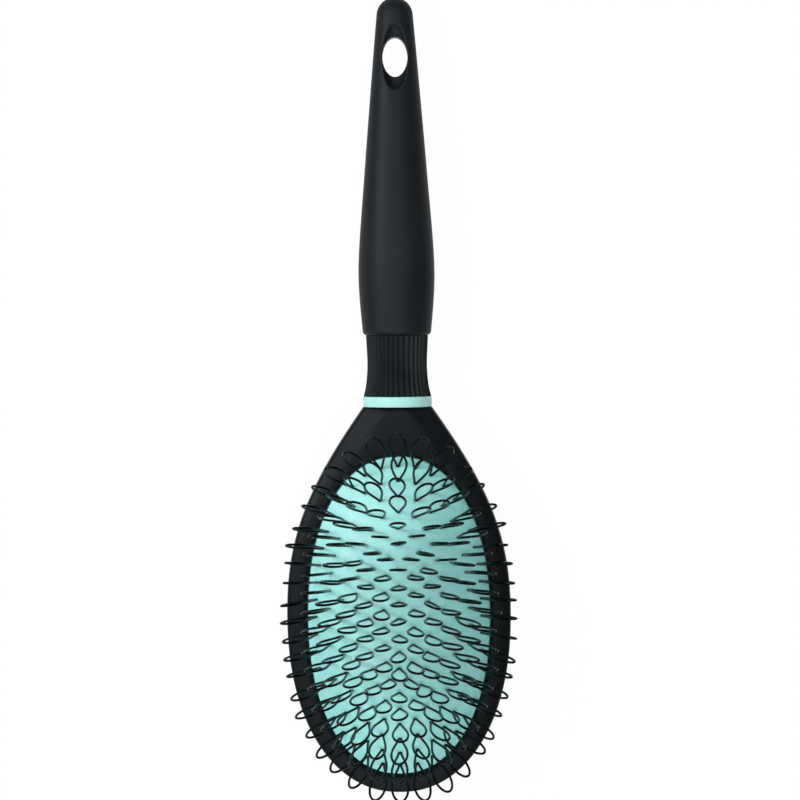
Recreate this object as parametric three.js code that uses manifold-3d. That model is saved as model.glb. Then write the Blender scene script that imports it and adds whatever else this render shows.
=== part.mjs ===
// A loop brush: a paddle head with an air cushion full of nylon loops, on a tapered soft grip.
// Millimetres. The brush lies on its back: +Z is the loop side, +Y runs to the end of the grip,
// and the origin is on the table, under the middle of the pad.

import * as THREE from "three";
import { mergeVertices } from "three/addons/utils/BufferGeometryUtils.js";
import Module from "manifold-3d";

const wasm = await Module();
wasm.setup();

// Clearances
const FIT_GAP = 0.3;
const RIM_GAP = 0.4;
const SLICE_GAP = 0.6;
const FACING_GAP = 0.5;

// Head outline, measured from the middle of the pad, and the rim left round the pad
const HEAD_HALF_WIDTH = 35.45;
const HEAD_NECK_REACH = 65.2;
const SIDE_RIM = 6.7;
const TIP_RIM = 6.15;
const NECK_RIM = 15.05;
const NECK_HALF_WIDTH = 10.9;
const FLANK_SLOPE = 0.71;
const FLANK_FULLNESS = 0.76;
const OVAL_POWER = 2.18;

// Head levels
const FACE_Z = 16.5;
const BEVEL_HEIGHT = 3.5;
const WALL_DRAFT = 0.3;
const SIDE_BEVEL = 1.7;
const NECK_BEVEL = 6.9;
const ARCH_LENGTH = 25.2;
const ARCH_END = 5.2;
const BACK_ROUND = 12;
const NECK_KEEL_HALF_WIDTH = 1.5;
const FLAT_SETBACK = 18;
const FLAT_SHARPNESS = 4;
const FLOOR_THICKNESS = 2.2;
const TONGUE_HEIGHT = 0.8;
const TONGUE_THICKNESS = 0.9;
const TONGUE_GAP = 0.5;
const VENT_RADIUS = 0.8;
const VENT_SETBACK = 20.15;

// Pad opening and what is clamped under its lip
const EDGE_CHAMFER = 0.9;
const LIP_THICKNESS = 1.9;
const SEAT_SIDE = 4.6;
const SEAT_END = 3.6;
const FLANGE_THICKNESS = 1.3;
const CLAMP_THICKNESS = 1.9;
const CLAMP_OVERLAP = 1.5;

// Cushion and loops
const CROWN_RADIUS = 48;
const RIM_DROP = 0.9;
const FACING_THICKNESS = 0.8;
const MEMBRANE_THICKNESS = 1.2;
const LOOP_RIM_MARGIN = 2.5;
const RIDGE_TAPER = 3.4;
const LOOPS_ON_RIDGE = 7;
const LOOPS_PER_ROW = [18, 24, 30, 32, 38, 44];
const LOOP_LENGTH = 17.5;
const LOOP_HALF_WIDTH = 2.45;
const LOOP_SHOULDER = 12.5;
const LOOP_TOP_HALF_WIDTH = 1.3;
const LOOP_ROOT_HALF_WIDTH = 0.5;
const STRAND_THICKNESS = 0.5;

// Handle core, screws, ring, sleeve and grip
const AXIS_Z = 9.5;
const CORE_HALF_WIDTH = 6;
const CORE_TIP_HALF_WIDTH = 3.5;
const CORE_DEPTH = 7;
const CORE_WALL = 1.4;
const CORE_TAPER_AT = 7;
const CORE_TIP_WALL = 5.3;
const EAR_HALF_SPAN = 10.5;
const EAR_LENGTH = 6;
const EAR_DEPTH = 4;
const EAR_SCREW_X = 8.2;
const EAR_SCREW_BITE = 3.4;
const EAR_SCREW = { head: 1.9, headHeight: 1.5, shank: 1.0 };
const CLAMP_SCREW = { head: 1.4, headHeight: 1.3, shank: 0.9 };
const CLAMP_SCREW_OUT = 2.3;
const CLAMP_SCREW_TURNS = [0, 55, 125, 180, 235, 305];
const CLAMP_SCREW_SKIN = 0.6;
const BOSS_WALL = 0.6;
const RING_LENGTH = 3.3;
const RING_STEP = 0.05;
const RING_HALF_DEPTH = 8.4;
const RING_EDGE = 0.4;
const SLEEVE_LENGTH = 19.2;
const SLEEVE_STEP = 0.15;
const SLEEVE_FLARE_LENGTH = 3.8;
const SLEEVE_FLARE_HALF_WIDTH = 9.85;
const SLEEVE_WAIST_AT = 10.3;
const SLEEVE_WAIST_HALF_WIDTH = 9.4;
const SLEEVE_TOP_HALF_WIDTH = 9.8;
const FLUTES = 36;
const FLUTE_DEPTH = 0.45;
const GRIP_LENGTH = 105.6;
const GRIP_FOOT_HALF_WIDTH = 10.8;
const GRIP_FOOT_CHAMFER = 0.8;
const GRIP_BELLY_AT = 21;
const GRIP_BELLY_HALF_WIDTH = 12;
const GRIP_MIDDLE_AT = 51;
const GRIP_MIDDLE_HALF_WIDTH = 9.9;
const GRIP_EYE_HALF_WIDTH = 6.9;
const GRIP_TIP_HALF_WIDTH = 5.75;
const EYE_SETBACK = 18.8;
const EYE_HALF_WIDTH = 3.95;
const EYE_HALF_LENGTH = 6.3;
const SCOOP_HALF_WIDTH = 4.1;
const SCOOP_HALF_LENGTH = 10.5;
const SCOOP_DEPTH = 3.2;

// Facets
const FLANK_STEPS = 10;
const TIP_STEPS = 24;
const OVAL_STEPS = 40;
const ROUND_STEPS = 12;
const SCREW_STEPS = 8;
const GRIP_STEPS = 28;
const GRIP_LEVELS = 12;
const GRIP_CAP_LEVELS = 5;
const SLEEVE_LEVELS = 6;
const RING_STEPS = 40;
const BACK_LEVELS = 4;

// Places that follow from the sizes
const PAD_HALF_WIDTH = HEAD_HALF_WIDTH - SIDE_RIM;
const PAD_HALF_LENGTH = HEAD_NECK_REACH - NECK_RIM;
const HEAD_TIP_REACH = PAD_HALF_LENGTH + TIP_RIM;
const ARCH_START_Y = HEAD_NECK_REACH - ARCH_LENGTH;
const ARCH_FULL_Y = HEAD_NECK_REACH - ARCH_END;
const VENT_Y = PAD_HALF_LENGTH - VENT_SETBACK;
const UNDERLIP_Z = FACE_Z - LIP_THICKNESS;
const FLANGE_TOP_Z = UNDERLIP_Z - FIT_GAP;
const FLANGE_Z = FLANGE_TOP_Z - FLANGE_THICKNESS;
const CLAMP_TOP_Z = FLANGE_Z - FIT_GAP;
const CLAMP_Z = CLAMP_TOP_Z - CLAMP_THICKNESS;
const CLAMP_SCREW_SEAT_Z = CLAMP_Z - FIT_GAP;
const PARTING_Z = CLAMP_Z - TONGUE_GAP - TONGUE_HEIGHT;
const RIM_Z = FACE_Z - RIM_DROP;
const RIM_HALF_WIDTH = PAD_HALF_WIDTH - RIM_GAP;
const RIDGE_HALF_LENGTH = PAD_HALF_LENGTH - PAD_HALF_WIDTH;
const RIM_ARC = CROWN_RADIUS * Math.asin(RIM_HALF_WIDTH / CROWN_RADIUS);
const ROW_PITCH = (RIM_ARC - LOOP_RIM_MARGIN) / LOOPS_PER_ROW.length;
const CORE_ROOT_Y = PAD_HALF_LENGTH + SEAT_END + CORE_WALL;
const CORE_Z = AXIS_Z - CORE_DEPTH / 2;
const EAR_TOP_Z = CORE_Z + EAR_DEPTH;
const RING_Y = HEAD_NECK_REACH + FIT_GAP;
const SLEEVE_Y = RING_Y + RING_LENGTH + FIT_GAP;
const GRIP_Y = SLEEVE_Y + SLEEVE_LENGTH + FIT_GAP;
const EYE_Y = GRIP_Y + GRIP_LENGTH - EYE_SETBACK;
const CORE_TAPER_Y = GRIP_Y + CORE_TAPER_AT;
const CORE_TIP_Y = EYE_Y - SCOOP_HALF_LENGTH - CORE_TIP_WALL;
const RING_HALF_WIDTH = NECK_HALF_WIDTH - RING_STEP;
const SLEEVE_FOOT_HALF_WIDTH = RING_HALF_WIDTH - SLEEVE_STEP;
const GRIP_FLATNESS = AXIS_Z / GRIP_BELLY_HALF_WIDTH;
const NECK_FLATNESS = RING_HALF_DEPTH / RING_HALF_WIDTH;
const PAST = 1;

// Solids: joining and cutting

function solidOf(geometry) {
  const bare = geometry.clone();
  bare.deleteAttribute("normal");
  bare.deleteAttribute("uv");
  const merged = mergeVertices(bare, 1e-4);
  const mesh = new wasm.Mesh({
    numProp: 3,
    vertProperties: merged.attributes.position.array,
    triVerts: new Uint32Array(merged.index.array),
  });
  return new wasm.Manifold(mesh);
}

function geometryOf(solid) {
  const mesh = solid.getMesh();
  const geometry = new THREE.BufferGeometry();
  geometry.setAttribute("position", new THREE.BufferAttribute(mesh.vertProperties, 3));
  geometry.setIndex(new THREE.BufferAttribute(mesh.triVerts, 1));
  geometry.computeVertexNormals();
  return geometry;
}

function meshGeometry(points, faces) {
  const geometry = new THREE.BufferGeometry().setFromPoints(points);
  geometry.setIndex(faces.flat());
  geometry.computeVertexNormals();
  return geometry;
}

// Closes a pile of equal rings, each running counter-clockwise seen from above, with flat ends.
function stack(rings) {
  const count = rings[0].length;
  const faces = [];
  for (let level = 0; level + 1 < rings.length; level++) {
    for (let i = 0; i < count; i++) {
      const a = level * count + i;
      const b = level * count + ((i + 1) % count);
      faces.push([a, b, b + count], [a, b + count, a + count]);
    }
  }
  const last = (rings.length - 1) * count;
  THREE.ShapeUtils.triangulateShape(rings[0], []).forEach(([a, b, c]) => faces.push([a, c, b]));
  THREE.ShapeUtils.triangulateShape(rings[rings.length - 1], []).forEach(([a, b, c]) => {
    faces.push([a + last, b + last, c + last]);
  });
  return meshGeometry(rings.flat(), faces);
}

function upright(radius, low, high, x, y) {
  const geometry = new THREE.CylinderGeometry(radius, radius, high - low, ROUND_STEPS);
  return geometry.rotateX(Math.PI / 2).translate(x, y, (low + high) / 2);
}

function block(halfWidth, yLow, yHigh, zLow, zHigh) {
  const geometry = new THREE.BoxGeometry(2 * halfWidth, yHigh - yLow, zHigh - zLow);
  return geometry.translate(0, (yLow + yHigh) / 2, (zLow + zHigh) / 2);
}

// Ovals: the pad's plan shape and everything that follows it

function ovalPoint(halfWidth, halfLength, turn) {
  const across = Math.cos(turn);
  const along = Math.sin(turn);
  const x = halfWidth * Math.sign(across) * Math.abs(across) ** (2 / OVAL_POWER);
  const y = halfLength * Math.sign(along) * Math.abs(along) ** (2 / OVAL_POWER);
  return new THREE.Vector2(x, y);
}

function ovalRing(halfWidth, halfLength, z) {
  return Array.from({ length: OVAL_STEPS }, (_, i) => {
    const p = ovalPoint(halfWidth, halfLength, (2 * Math.PI * i) / OVAL_STEPS);
    return new THREE.Vector3(p.x, p.y, z);
  });
}

// The opening's oval, grown by one amount at the sides and another at the ends.
function padRing(side, end, z) {
  return ovalRing(PAD_HALF_WIDTH + side, PAD_HALF_LENGTH + end, z);
}

// Head

const flank = new THREE.CubicBezierCurve(
  new THREE.Vector2(HEAD_HALF_WIDTH, 0),
  new THREE.Vector2(HEAD_HALF_WIDTH, FLANK_FULLNESS * flankCornerY()),
  new THREE.Vector2(
    NECK_HALF_WIDTH + FLANK_FULLNESS * (HEAD_HALF_WIDTH - NECK_HALF_WIDTH),
    HEAD_NECK_REACH - FLANK_FULLNESS * (HEAD_NECK_REACH - flankCornerY()),
  ),
  new THREE.Vector2(NECK_HALF_WIDTH, HEAD_NECK_REACH),
);

// Where the straight flank, drawn on, would meet the head's full width.
function flankCornerY() {
  return HEAD_NECK_REACH - (HEAD_HALF_WIDTH - NECK_HALF_WIDTH) / FLANK_SLOPE;
}

// One level of the head: its outline drawn in by one amount round the paddle and another at the neck.
function headRing(z, side, neck, setback) {
  const right = [];
  for (let i = 0; i <= FLANK_STEPS; i++) {
    const p = flank.getPoint(i / FLANK_STEPS);
    const blend = THREE.MathUtils.smoothstep(p.y, ARCH_START_Y, ARCH_FULL_Y);
    const inset = THREE.MathUtils.lerp(side, neck, blend);
    const y = p.y * (1 - setback / HEAD_NECK_REACH);
    right.push(new THREE.Vector3(p.x - inset, y, z));
  }
  const left = right.map((p) => new THREE.Vector3(-p.x, p.y, z)).reverse();
  const tip = [];
  for (let i = 1; i < TIP_STEPS; i++) {
    const p = ovalPoint(HEAD_HALF_WIDTH - side, HEAD_TIP_REACH - side, Math.PI * (1 + i / TIP_STEPS));
    tip.push(new THREE.Vector3(p.x, p.y, z));
  }
  return [...left, ...tip, ...right];
}

// The back's rounding: how far it has drawn in, from the parting line at 0 to the flat at 1.
const backSteps = Array.from({ length: BACK_LEVELS + 1 }, (_, level) => {
  const angle = (1 - level / BACK_LEVELS) * (Math.PI / 2);
  return { drawn: 1 - Math.cos(angle), height: 1 - Math.sin(angle) };
});

function backForm() {
  const keel = NECK_HALF_WIDTH - NECK_KEEL_HALF_WIDTH;
  return stack(
    backSteps.map(({ drawn, height }) => {
      const setback = FLAT_SETBACK * drawn ** FLAT_SHARPNESS;
      return headRing(PARTING_Z * height, BACK_ROUND * drawn, keel * drawn, setback);
    }),
  );
}

function chamber() {
  const side = SEAT_SIDE - FIT_GAP - TONGUE_THICKNESS;
  const end = SEAT_END - FIT_GAP - TONGUE_THICKNESS;
  const rings = backSteps.map(({ drawn, height }) => {
    const z = FLOOR_THICKNESS + (PARTING_Z - FLOOR_THICKNESS) * height;
    return padRing(side - BACK_ROUND * drawn, end - BACK_ROUND * drawn, z);
  });
  return stack([...rings, padRing(side, end, PARTING_Z + TONGUE_HEIGHT + PAST)]);
}

function tongue() {
  const side = SEAT_SIDE - FIT_GAP;
  const end = SEAT_END - FIT_GAP;
  return stack([padRing(side, end, PARTING_Z - PAST), padRing(side, end, PARTING_Z + TONGUE_HEIGHT)]);
}

function frameForm() {
  const bevelZ = FACE_Z - BEVEL_HEIGHT;
  return stack([
    headRing(PARTING_Z, 0, 0, 0),
    headRing(bevelZ, WALL_DRAFT, WALL_DRAFT, 0),
    headRing(FACE_Z, SIDE_BEVEL, NECK_BEVEL, 0),
  ]);
}

function padOpening() {
  const flare = EDGE_CHAMFER + PAST;
  return stack([
    padRing(0, 0, PARTING_Z - PAST),
    padRing(0, 0, FACE_Z - EDGE_CHAMFER),
    padRing(flare, flare, FACE_Z + PAST),
  ]);
}

// Clamp screws stand on an oval just outside the opening.
const clampScrewPlaces = CLAMP_SCREW_TURNS.map((degrees) =>
  ovalPoint(
    PAD_HALF_WIDTH + CLAMP_SCREW_OUT,
    PAD_HALF_LENGTH + CLAMP_SCREW_OUT,
    THREE.MathUtils.degToRad(degrees),
  ),
);
const CLAMP_PILOT_RADIUS = CLAMP_SCREW.shank + FIT_GAP;
const BOSS_RADIUS = CLAMP_PILOT_RADIUS + BOSS_WALL;
const CLAMP_SCREW_TOP_Z = FACE_Z - CLAMP_SCREW_SKIN;

function clampHoles(radius, low, high) {
  return clampScrewPlaces.map(({ x, y }) => solidOf(upright(radius, low, high, x, y)));
}

function cutAll(solid, cutters) {
  return cutters.reduce((left, cutter) => left.subtract(cutter), solid);
}

const earScrewY = CORE_ROOT_Y + EAR_LENGTH / 2;
const EAR_PILOT_RADIUS = EAR_SCREW.shank + FIT_GAP;
const EAR_SCREW_TIP_Z = CORE_Z - EAR_SCREW_BITE;

function earHoles(radius, low, high) {
  return [-1, 1].map((side) => solidOf(upright(radius, low, high, side * EAR_SCREW_X, earScrewY)));
}

function backShell() {
  const outside = solidOf(backForm()).add(solidOf(tongue()));
  const headEnd = CLAMP_SCREW_SEAT_Z - CLAMP_SCREW.headHeight - FIT_GAP;
  const headRoom = clampHoles(CLAMP_SCREW.head + FIT_GAP, headEnd, FACE_Z);
  const vent = solidOf(upright(VENT_RADIUS, -PAST, FLOOR_THICKNESS + PAST, 0, VENT_Y));
  const pilots = earHoles(EAR_PILOT_RADIUS, EAR_SCREW_TIP_Z - FIT_GAP, EAR_TOP_Z);
  return cutAll(outside, [solidOf(chamber()), corePocket(), vent, ...pilots, ...headRoom]);
}

function frontFrame() {
  const seat = solidOf(
    stack([padRing(SEAT_SIDE, SEAT_END, PARTING_Z - PAST), padRing(SEAT_SIDE, SEAT_END, UNDERLIP_Z)]),
  );
  const bosses = clampHoles(BOSS_RADIUS, CLAMP_TOP_Z + FIT_GAP, FACE_Z);
  const pilots = clampHoles(CLAMP_PILOT_RADIUS, PARTING_Z, CLAMP_SCREW_TOP_Z + FIT_GAP);
  const headHeight = EAR_TOP_Z + FIT_GAP + EAR_SCREW.headHeight + FIT_GAP;
  const headRoom = earHoles(EAR_SCREW.head + FIT_GAP, PARTING_Z - PAST, headHeight);
  const cutters = [solidOf(padOpening()), cutAll(seat, bosses), corePocket(), ...pilots, ...headRoom];
  return cutAll(solidOf(frameForm()), cutters);
}

function clampRing() {
  const ring = solidOf(
    stack([
      padRing(SEAT_SIDE - FIT_GAP, SEAT_END - FIT_GAP, CLAMP_Z),
      padRing(SEAT_SIDE - FIT_GAP, SEAT_END - FIT_GAP, CLAMP_TOP_Z),
    ]),
  );
  const bore = stack([
    padRing(-CLAMP_OVERLAP, -CLAMP_OVERLAP, CLAMP_Z - PAST),
    padRing(-CLAMP_OVERLAP, -CLAMP_OVERLAP, CLAMP_TOP_Z + PAST),
  ]);
  const holes = clampHoles(CLAMP_PILOT_RADIUS, CLAMP_Z - PAST, CLAMP_TOP_Z + PAST);
  return cutAll(ring, [solidOf(bore), ...holes]);
}

// Screws: the seat of the head is at the origin, the head above it and the shank below.
function screw({ head, headHeight, shank }, length) {
  const tip = shank / 2;
  const profile = [
    [0, -length],
    [tip, -length],
    [shank, -length + shank],
    [shank, 0],
    [head, 0],
    [head, headHeight / 2],
    [tip, headHeight],
    [0, headHeight],
  ];
  const points = profile.map(([r, y]) => new THREE.Vector2(r, y));
  return new THREE.LatheGeometry(points, SCREW_STEPS).rotateX(Math.PI / 2);
}

// Cushion: a rubber membrane, crowned along a ridge, with a flat flange under the frame's lip

function crownZ(arc) {
  return RIM_Z + CROWN_RADIUS * (Math.cos(arc / CROWN_RADIUS) - Math.cos(RIM_ARC / CROWN_RADIUS));
}

function crownHalfWidth(arc) {
  return CROWN_RADIUS * Math.sin(arc / CROWN_RADIUS);
}

// The ridge is shorter than the rim would have it, so the crown falls away more gently at its ends.
function crownHalfLength(arc) {
  return crownHalfWidth(arc) + RIDGE_HALF_LENGTH - RIDGE_TAPER * (1 - arc / RIM_ARC);
}

function crownPoint(arc, turn, drop) {
  const p = ovalPoint(crownHalfWidth(arc), crownHalfLength(arc), turn);
  return new THREE.Vector3(p.x, p.y, crownZ(arc) - drop);
}

function crownRing(arc, drop) {
  return ovalRing(crownHalfWidth(arc), crownHalfLength(arc), crownZ(arc) - drop);
}

function cushion() {
  const topDrop = FACING_THICKNESS + FACING_GAP;
  const underDrop = topDrop + MEMBRANE_THICKNESS;
  const arcs = LOOPS_PER_ROW.map((_, i) => (i + 0.5) * ROW_PITCH);
  const inner = -RIM_GAP - MEMBRANE_THICKNESS;
  const outerSide = SEAT_SIDE - FIT_GAP;
  const outerEnd = SEAT_END - FIT_GAP;
  const body = stack([
    ...arcs.map((arc) => crownRing(arc, underDrop)),
    padRing(inner, inner, FLANGE_Z),
    padRing(outerSide, outerEnd, FLANGE_Z),
    padRing(outerSide, outerEnd, FLANGE_TOP_Z),
    padRing(-RIM_GAP, -RIM_GAP, FLANGE_TOP_Z),
    ...arcs.map((arc) => crownRing(arc, topDrop)).reverse(),
  ]);
  const holes = clampHoles(BOSS_RADIUS + FIT_GAP, FLANGE_Z - PAST, FLANGE_TOP_Z + PAST);
  return cutAll(solidOf(body), holes);
}

// Loop field: rows of nylon loops round the crown, each standing square to the cushion's facing

// Even places round one row: the curve is the row itself, so equal shares are equal lengths.
class RowCurve extends THREE.Curve {
  constructor(arc) {
    super();
    this.arc = arc;
  }

  getPoint(t) {
    return crownPoint(this.arc, 2 * Math.PI * (t + 0.25), 0);
  }
}

function rowTurn(curve, share) {
  return 2 * Math.PI * (curve.getUtoTmapping(share) + 0.25);
}

function facingNormal(arc, turn) {
  const halfWidth = crownHalfWidth(arc);
  const halfLength = crownHalfLength(arc);
  const p = ovalPoint(halfWidth, halfLength, turn);
  const steep = (value, half) => (Math.sign(value) * Math.abs(value / half) ** (OVAL_POWER - 1)) / half;
  const out = new THREE.Vector2(steep(p.x, halfWidth), steep(p.y, halfLength));
  out.setLength(Math.sin(arc / CROWN_RADIUS));
  return new THREE.Vector3(out.x, out.y, Math.cos(arc / CROWN_RADIUS));
}

// A loop's outline in its own plane: across and up, from the two root corners round the arch.
const loopOutline = [
  new THREE.Vector2(-LOOP_ROOT_HALF_WIDTH, 0),
  new THREE.Vector2(LOOP_ROOT_HALF_WIDTH, 0),
  new THREE.Vector2(LOOP_HALF_WIDTH, LOOP_SHOULDER),
  new THREE.Vector2(LOOP_TOP_HALF_WIDTH, LOOP_LENGTH),
  new THREE.Vector2(-LOOP_TOP_HALF_WIDTH, LOOP_LENGTH),
  new THREE.Vector2(-LOOP_HALF_WIDTH, LOOP_SHOULDER),
];

// The same outline, drawn in by the strand's thickness.
const loopInside = loopOutline.map((p, i) => {
  const count = loopOutline.length;
  const ahead = loopOutline[(i + 1) % count];
  const behind = loopOutline[(i + count - 1) % count];
  const run = ahead.clone().sub(behind).setLength(STRAND_THICKNESS);
  return new THREE.Vector2(p.x - run.y, p.y + run.x);
});

// Adds one loop's three-sided strand and returns the four corners of its root, which is left open.
function addLoop(points, faces, root, normal) {
  const up = normal;
  const across = new THREE.Vector3(1, 0, 0).addScaledVector(up, -up.x).normalize();
  const through = new THREE.Vector3().crossVectors(up, across);
  const at = (p, aside) =>
    root.clone().addScaledVector(across, p.x).addScaledVector(up, p.y).addScaledVector(through, aside);
  const first = points.length;
  const near = (i) => first + 3 * (i % loopOutline.length);
  const far = (i) => near(i) + 1;
  const inside = (i) => near(i) + 2;
  loopOutline.forEach((p, i) => {
    points.push(at(p, -STRAND_THICKNESS / 2), at(p, STRAND_THICKNESS / 2), at(loopInside[i], 0));
  });
  loopOutline.forEach((_, i) => {
    if (i > 0) faces.push([near(i), far(i), far(i + 1)], [near(i), far(i + 1), near(i + 1)]);
    faces.push([near(i), near(i + 1), inside(i + 1)], [near(i), inside(i + 1), inside(i)]);
    faces.push([far(i), inside(i), inside(i + 1)], [far(i), inside(i + 1), far(i + 1)]);
  });
  return [near(0), near(1), far(1), far(0)];
}

// Fills the facing between the four corners of a cell and the root that stands in it.
function fillCell(points, faces, cell, foot) {
  const length = (shift) =>
    cell.reduce((sum, c, i) => sum + points[c].distanceTo(points[foot[(i + shift) % 4]]), 0);
  const shift = [0, 1, 2, 3].reduce((best, s) => (length(s) < length(best) ? s : best), 0);
  cell.forEach((corner, i) => {
    const nextCorner = cell[(i + 1) % 4];
    const toe = foot[(i + shift) % 4];
    const nextToe = foot[(i + 1 + shift) % 4];
    faces.push([corner, nextCorner, nextToe], [corner, nextToe, toe]);
  });
}

// Joins two closed rows of evenly shared points with a strip that faces up.
function zip(faces, outer, inner) {
  let i = 0;
  let j = 0;
  while (i < outer.length || j < inner.length) {
    const o = outer[i % outer.length];
    const n = inner[j % inner.length];
    const outerIsNext = (i + 1) * inner.length <= (j + 1) * outer.length;
    if (j === inner.length || (i < outer.length && outerIsNext)) {
      i += 1;
      faces.push([n, o, outer[i % outer.length]]);
    } else {
      j += 1;
      faces.push([n, o, inner[j % inner.length]]);
    }
  }
}

// One part of the field: a slice of the facing from one row to another, with its loops.
// The part that holds the ridge has no inner edge.
function loopField(innerRow, outerRow) {
  const points = [];
  const faces = [];
  const half = (ROW_PITCH - SLICE_GAP) / 2;
  const place = (arc, curve, count, drop) =>
    Array.from({ length: count }, (_, i) => {
      const turn = rowTurn(curve, (i + 0.5) / count);
      return points.push(crownPoint(arc, turn, drop)) - 1;
    });
  const rows = [];
  for (let row = Math.max(innerRow, 1); row <= outerRow; row++) {
    const arc = row * ROW_PITCH;
    const count = LOOPS_PER_ROW[row - 1];
    const curve = new RowCurve(arc);
    const outerArc = Math.min(arc + half, RIM_ARC);
    const outer = place(outerArc, curve, count, 0);
    const inner = place(arc - half, curve, count, 0);
    for (let i = 0; i < count; i++) {
      const turn = rowTurn(curve, i / count);
      const foot = addLoop(points, faces, crownPoint(arc, turn, 0), facingNormal(arc, turn));
      const before = (i + count - 1) % count;
      fillCell(points, faces, [inner[before], outer[before], outer[i], inner[i]], foot);
    }
    rows.push({ outer, inner, curve, count, outerArc, innerArc: arc - half });
  }
  for (let k = 1; k < rows.length; k++) zip(faces, rows[k].inner, rows[k - 1].outer);
  const top = rows[rows.length - 1];
  const low = rows[0];
  const outerUnder = place(top.outerArc, top.curve, top.count, FACING_THICKNESS);
  const innerUnder = place(low.innerArc, low.curve, low.count, FACING_THICKNESS);
  const underside = [];
  zip(underside, outerUnder, innerUnder);
  underside.forEach(([a, b, c]) => faces.push([a, c, b]));
  addWall(faces, top.outer, outerUnder);
  if (innerRow === 0) {
    addRidge(points, faces, low.inner);
    capUnder(points, faces, innerUnder);
  } else {
    addWall(faces, innerUnder, low.inner);
  }
  return meshGeometry(points, faces);
}

function addWall(faces, upper, lower) {
  upper.forEach((_, i) => {
    const next = (i + 1) % upper.length;
    faces.push([lower[i], lower[next], upper[next]], [lower[i], upper[next], upper[i]]);
  });
}

// The middle of the crown: a nearly flat oval with the ridge's loops in a line along it.
function addRidge(points, faces, edge) {
  const up = new THREE.Vector3(0, 0, 1);
  const halfLength = crownHalfLength(0);
  const pitch = (2 * halfLength) / LOOPS_ON_RIDGE;
  const feet = Array.from({ length: LOOPS_ON_RIDGE }, (_, i) => {
    const y = (i + 0.5) * pitch - halfLength;
    return addLoop(points, faces, new THREE.Vector3(0, y, crownZ(0)), up);
  });
  const flat = (indices) => indices.map((k) => new THREE.Vector2(points[k].x, points[k].y));
  const order = [...edge, ...feet.map((foot) => [...foot].reverse()).flat()];
  const holes = feet.map((foot) => flat([...foot].reverse()));
  THREE.ShapeUtils.triangulateShape(flat(edge), holes).forEach((face) => {
    faces.push(face.map((k) => order[k]));
  });
}

function capUnder(points, faces, edge) {
  const flat = edge.map((k) => new THREE.Vector2(points[k].x, points[k].y));
  THREE.ShapeUtils.triangulateShape(flat, []).forEach(([a, b, c]) => {
    faces.push([edge[a], edge[c], edge[b]]);
  });
}

// Handle

// The core's flat tang and its two ears, grown all round by a clearance.
function coreForm(grow) {
  const root = CORE_ROOT_Y - grow;
  const tip = CORE_TIP_Y + grow;
  const outline = new THREE.Shape([
    new THREE.Vector2(-CORE_HALF_WIDTH - grow, root),
    new THREE.Vector2(CORE_HALF_WIDTH + grow, root),
    new THREE.Vector2(CORE_HALF_WIDTH + grow, CORE_TAPER_Y),
    new THREE.Vector2(CORE_TIP_HALF_WIDTH + grow, tip),
    new THREE.Vector2(-CORE_TIP_HALF_WIDTH - grow, tip),
    new THREE.Vector2(-CORE_HALF_WIDTH - grow, CORE_TAPER_Y),
  ]);
  const depth = CORE_DEPTH + 2 * grow;
  const tang = new THREE.ExtrudeGeometry(outline, { depth, bevelEnabled: false });
  tang.translate(0, 0, CORE_Z - grow);
  const earEnd = CORE_ROOT_Y + EAR_LENGTH + grow;
  const ears = block(EAR_HALF_SPAN + grow, root, earEnd, CORE_Z - grow, EAR_TOP_Z + grow);
  return solidOf(tang).add(solidOf(ears));
}

function corePocket() {
  return coreForm(FIT_GAP);
}

function handleCore() {
  return cutAll(coreForm(0), earHoles(EAR_PILOT_RADIUS, CORE_Z - PAST, EAR_TOP_Z + PAST));
}

// A turned form about the handle's axis, pressed flatter in depth.
function turned(profile, steps, flatness, y) {
  const points = profile.map(([r, along]) => new THREE.Vector2(r, along));
  return new THREE.LatheGeometry(points, steps).scale(1, 1, flatness).translate(0, y, AXIS_Z);
}

function accentRing() {
  const edge = RING_HALF_WIDTH - RING_EDGE;
  const profile = [
    [0, 0],
    [edge, 0],
    [RING_HALF_WIDTH, RING_EDGE],
    [RING_HALF_WIDTH, RING_LENGTH - RING_EDGE],
    [edge, RING_LENGTH],
    [0, RING_LENGTH],
  ];
  return solidOf(turned(profile, RING_STEPS, NECK_FLATNESS, RING_Y)).subtract(corePocket());
}

function splineProfile(points, divisions) {
  const curve = new THREE.SplineCurve(points.map(([r, y]) => new THREE.Vector2(r, y)));
  return curve.getPoints(divisions).map((p) => [p.x, p.y]);
}

function neckSleeve() {
  const side = splineProfile(
    [
      [SLEEVE_FOOT_HALF_WIDTH, 0],
      [SLEEVE_FLARE_HALF_WIDTH, SLEEVE_FLARE_LENGTH],
      [SLEEVE_WAIST_HALF_WIDTH, SLEEVE_WAIST_AT],
      [SLEEVE_TOP_HALF_WIDTH, SLEEVE_LENGTH],
    ],
    SLEEVE_LEVELS,
  );
  const profile = [[0, 0], ...side, [0, SLEEVE_LENGTH]];
  const form = turned(profile, 2 * FLUTES, 1, 0);
  const at = form.attributes.position;
  for (let i = 0; i < at.count; i++) {
    const column = Math.floor(i / profile.length);
    const radius = Math.hypot(at.getX(i), at.getZ(i) - AXIS_Z);
    const share = column % 2 === 1 && radius > FLUTE_DEPTH ? 1 - FLUTE_DEPTH / radius : 1;
    const depth = (at.getZ(i) - AXIS_Z) * share * NECK_FLATNESS;
    at.setXYZ(i, at.getX(i) * share, at.getY(i) + SLEEVE_Y, AXIS_Z + depth);
  }
  return solidOf(form).subtract(corePocket());
}

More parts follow.
